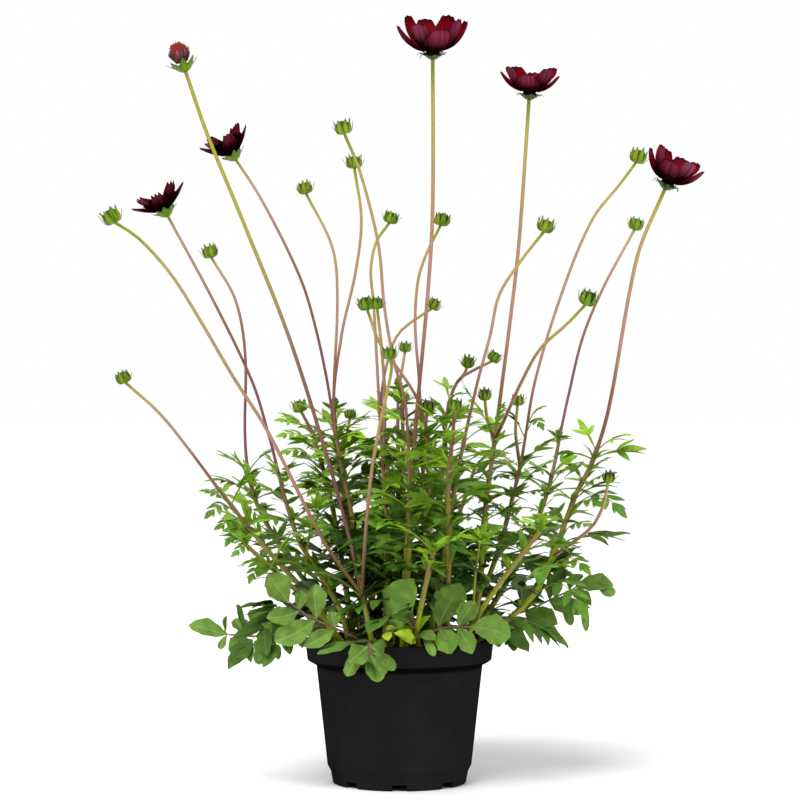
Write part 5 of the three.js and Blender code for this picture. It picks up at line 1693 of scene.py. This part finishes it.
def leaf_material(name, vein):
    """Leaves: a pale midrib, side veins with a fine net between them, and uneven green."""
    look = Look(name, {"Specular IOR Level": 0.13})
    along, across, own = look.place()
    aside = look.math("ABSOLUTE", across)
    midrib = look.ranged(aside, 0.1, 0.42, 1, 0)
    phase = look.times(look.math("SUBTRACT", along, look.times(aside, 1.15)), 2.05)
    veins = look.ranged(look.math("ABSOLUTE", look.math("SINE", phase)), 0.02, 0.28, 0.7, 0)
    net = look.ranged(look.cells(look.vector(along, across, own), 1.35), 0.0, 0.09, 0.4, 0)
    lines = look.math("MAXIMUM", midrib, look.math("MAXIMUM", veins, net))
    mottle = look.noise(look.object_place(), 160, 4)
    uneven = look.toned(mottle, 0.3, 0.7, 0.7, 1.28)
    yellowed = look.mixed(look.ranged(mottle, 0.6, 0.8, 0, 0.3), uneven, rgba(YOUNG_LEAF))
    veined = look.mixed(look.times(lines, vein), yellowed, rgba(VEIN_PALE))
    look.bump(look.math("SUBTRACT", look.times(mottle, 0.5), lines), 0.5, 0.35)
    return look.finish(veined, look.ranged(mottle, 0.3, 0.7, 0.42, 0.6))


def bud_material():
    """Buds and cups: fine lines along the scales."""
    look = Look("bud", {"Specular IOR Level": 0.2})
    lines = look.streaks(0.25, 3, 1.4)
    look.bump(lines, 0.45, 0.25)
    return look.finish(look.toned(lines, 0.3, 0.7, 0.68, 1.35), look.ranged(lines, 0.2, 0.8, 0.36, 0.52))


def petal_look(name, mark, low, high, gloss):
    """A velvety petal: cloudy streaks of another tone run along it from a little above its foot."""
    look = Look(name, {"Specular IOR Level": gloss})
    streaks = look.streaks(0.07, 0.8, 1.5, 4)
    cloud = look.noise(look.object_place(), 110, 2)
    part = look.times(look.ranged(streaks, low, high, 0, 0.85), look.ranged(cloud, 0.35, 0.65, 0.2, 1))
    outer = look.times(part, look.ranged(look.place()[0], 5, 12, 0, 1))
    marked = look.mixed(outer, look.toned(streaks, 0.3, 0.7, 0.6, 1.45), rgba(mark))
    look.bump(streaks, 0.4, 0.4)
    return look.finish(marked, look.ranged(streaks, 0.3, 0.7, 0.45, 0.62))


def floret_material(name):
    """Florets: a finely grained matt surface."""
    look = Look(name)
    grain = look.noise(look.object_place(), 1500, 3)
    look.bump(grain, 0.5, 0.2)
    return look.finish(look.toned(grain, 0.3, 0.7, 0.65, 1.4), look.ranged(grain, 0.3, 0.7, 0.6, 0.8))


def pot_material():
    """The pot: thin dull black plastic with faint scuffs and dust, and painted shade in the step under its
    collar.
    """
    look = Look("black_plastic", {"Specular IOR Level": 0.0})
    place = look.object_place()
    cloud = look.noise(place, 28, 3)
    scuffs = look.ranged(look.noise(place, 75, 6, 0.7), 0.58, 0.72, 0, 0.5)
    black = look.mixed(cloud, rgba(POT_BLACK), rgba(POT_GREY))
    dusty = look.mixed(look.times(scuffs, 0.35), black, rgba(POT_DUST))
    # Painted shade: the band between the body's top and the collar's foot is darkened.
    height = look.parts(place)[2]
    below = look.ranged(height, (BODY_TOP - 2) * MM, BODY_TOP * MM, 1, COLLAR_SHADE)
    above = look.ranged(height, COLLAR_BOTTOM * MM, (COLLAR_BOTTOM + 0.5) * MM, COLLAR_SHADE, 1)
    shaded = look.scaled(dusty, look.math("MAXIMUM", below, above))
    look.bump(look.noise(place, 900, 3), 0.12, 0.15)
    rough = look.ranged(cloud, 0.3, 0.7, 0.34, 0.46)
    return look.finish(shaded, look.math("ADD", rough, look.times(scuffs, 0.3)))


def soil_material():
    """Compost: dark brown crumbs of many sizes, with paler fibres."""
    look = Look("compost")
    place = look.object_place()
    coarse = look.noise(place, 180, 6, 0.7)
    fine = look.noise(place, 1100, 4, 0.7)
    both = look.math("ADD", coarse, look.times(fine, 0.6))
    brown = look.toned(both, 0.5, 1.1, 0.45, 1.8)
    fibres = look.mixed(look.ranged(fine, 0.66, 0.76, 0, 0.5), brown, rgba(SOIL_PALE))
    look.bump(both, 0.9, 1.2)
    return look.finish(fibres, look.ranged(fine, 0.3, 0.7, 0.82, 0.95))


def all_materials():
    return {
        "stem": stem_material(),
        "leaf": leaf_material("leaf", 0.14),
        "broad_leaf": leaf_material("broad_leaf", 0.4),
        "bud": bud_material(),
        "petal_inside": petal_look("petal_inside", PETAL_RED * 1.3, 0.55, 0.8, 0.04),
        "petal_outside": petal_look("petal_outside", PETAL_WINE * 1.5, 0.5, 0.7, 0.0),
        "floret": floret_material("floret"),
        "spent": floret_material("spent"),
        "pot": pot_material(),
        "soil": soil_material(),
    }


# The studio.
def add_camera():
    camera = bpy.data.cameras.new("camera")
    camera.angle = 2 * math.atan(VIEW_WIDTH / 2 / CAMERA_DISTANCE)
    camera.shift_x = POT_AXIS_LEFT_OF_MIDDLE_PX / PHOTO_WIDTH_PX
    camera.clip_start = CLIP_START * MM
    piece = linked("camera", camera)
    piece.location = (0, -CAMERA_DISTANCE * MM, CAMERA_HEIGHT * MM)
    piece.rotation_euler = (math.pi / 2, 0, 0)
    bpy.context.scene.camera = piece


def add_light(name, place, target, width, power):
    """A round lamp at a place, turned to a target. Its places and width are in metres."""
    lamp = bpy.data.lights.new(name, "AREA")
    lamp.shape = "DISK"
    lamp.size = width
    lamp.energy = power
    piece = linked(name, lamp)
    piece.location = place
    way = Vector(target) - Vector(place)
    piece.rotation_euler = way.to_track_quat("-Z", "Y").to_euler()


def add_sun():
    """A broad soft light from high up at the front left."""
    lamp = bpy.data.lights.new("sun", "SUN")
    lamp.energy = SUN_STRENGTH
    lamp.angle = SUN_SPREAD * DEGREE
    linked("sun", lamp).rotation_euler = [turn * DEGREE for turn in SUN_TILT]


def add_floor():
    """A plain white floor that runs far past the view."""
    look = Look("floor", {"Roughness": 0.9, "Base Color": rgba(FLOOR_WHITE)})
    form = Form()
    half = FLOOR_HALF / MM
    signs = ((-1, -1), (1, -1), (1, 1), (-1, 1))
    corners = np.array([[x * half, y * half, -FLOOR_DROP_MM] for x, y in signs])
    form.add(corners, [[0, 1, 2, 3]], FLOOR_WHITE, np.zeros(3), 0)
    floor = form.piece("floor", [look.material])
    floor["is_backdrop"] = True


def add_world():
    """White all round: full strength where the camera sees it, softer where it lights the plant."""
    world = bpy.data.worlds.new("studio")
    world.use_nodes = True
    tree = world.node_tree
    background = tree.nodes["Background"]
    background.inputs["Color"].default_value = (1, 1, 1, 1)
    seen = tree.nodes.new("ShaderNodeLightPath")
    strength = tree.nodes.new("ShaderNodeMapRange")
    strength.inputs["To Min"].default_value = WORLD_LIGHT
    strength.inputs["To Max"].default_value = WORLD_SEEN
    tree.links.new(seen.outputs["Is Camera Ray"], strength.inputs["Value"])
    tree.links.new(strength.outputs[0], background.inputs["Strength"])
    bpy.context.scene.world = world


def add_studio():
    add_camera()
    add_floor()
    add_world()
    add_sun()
    add_light("fill", **FILL_LIGHT)
    add_light("back", **BACK_LIGHT)
    bpy.context.scene.view_settings.view_transform = "Standard"


def build():
    materials = all_materials()
    for k, given in enumerate([*FLOWERING_SHOOTS, *LEAFY_SHOOTS]):
        add_shoot(given, k + 1, materials)
    for k, given in enumerate(BROAD_LEAVES):
        add_broad_leaf(given, k, materials)
    add_pot(materials)
    add_soil(materials)
    add_studio()


build()

corners = [[[float(x) for x in corner] for corner in box] for box in (cad_bounds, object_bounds())]
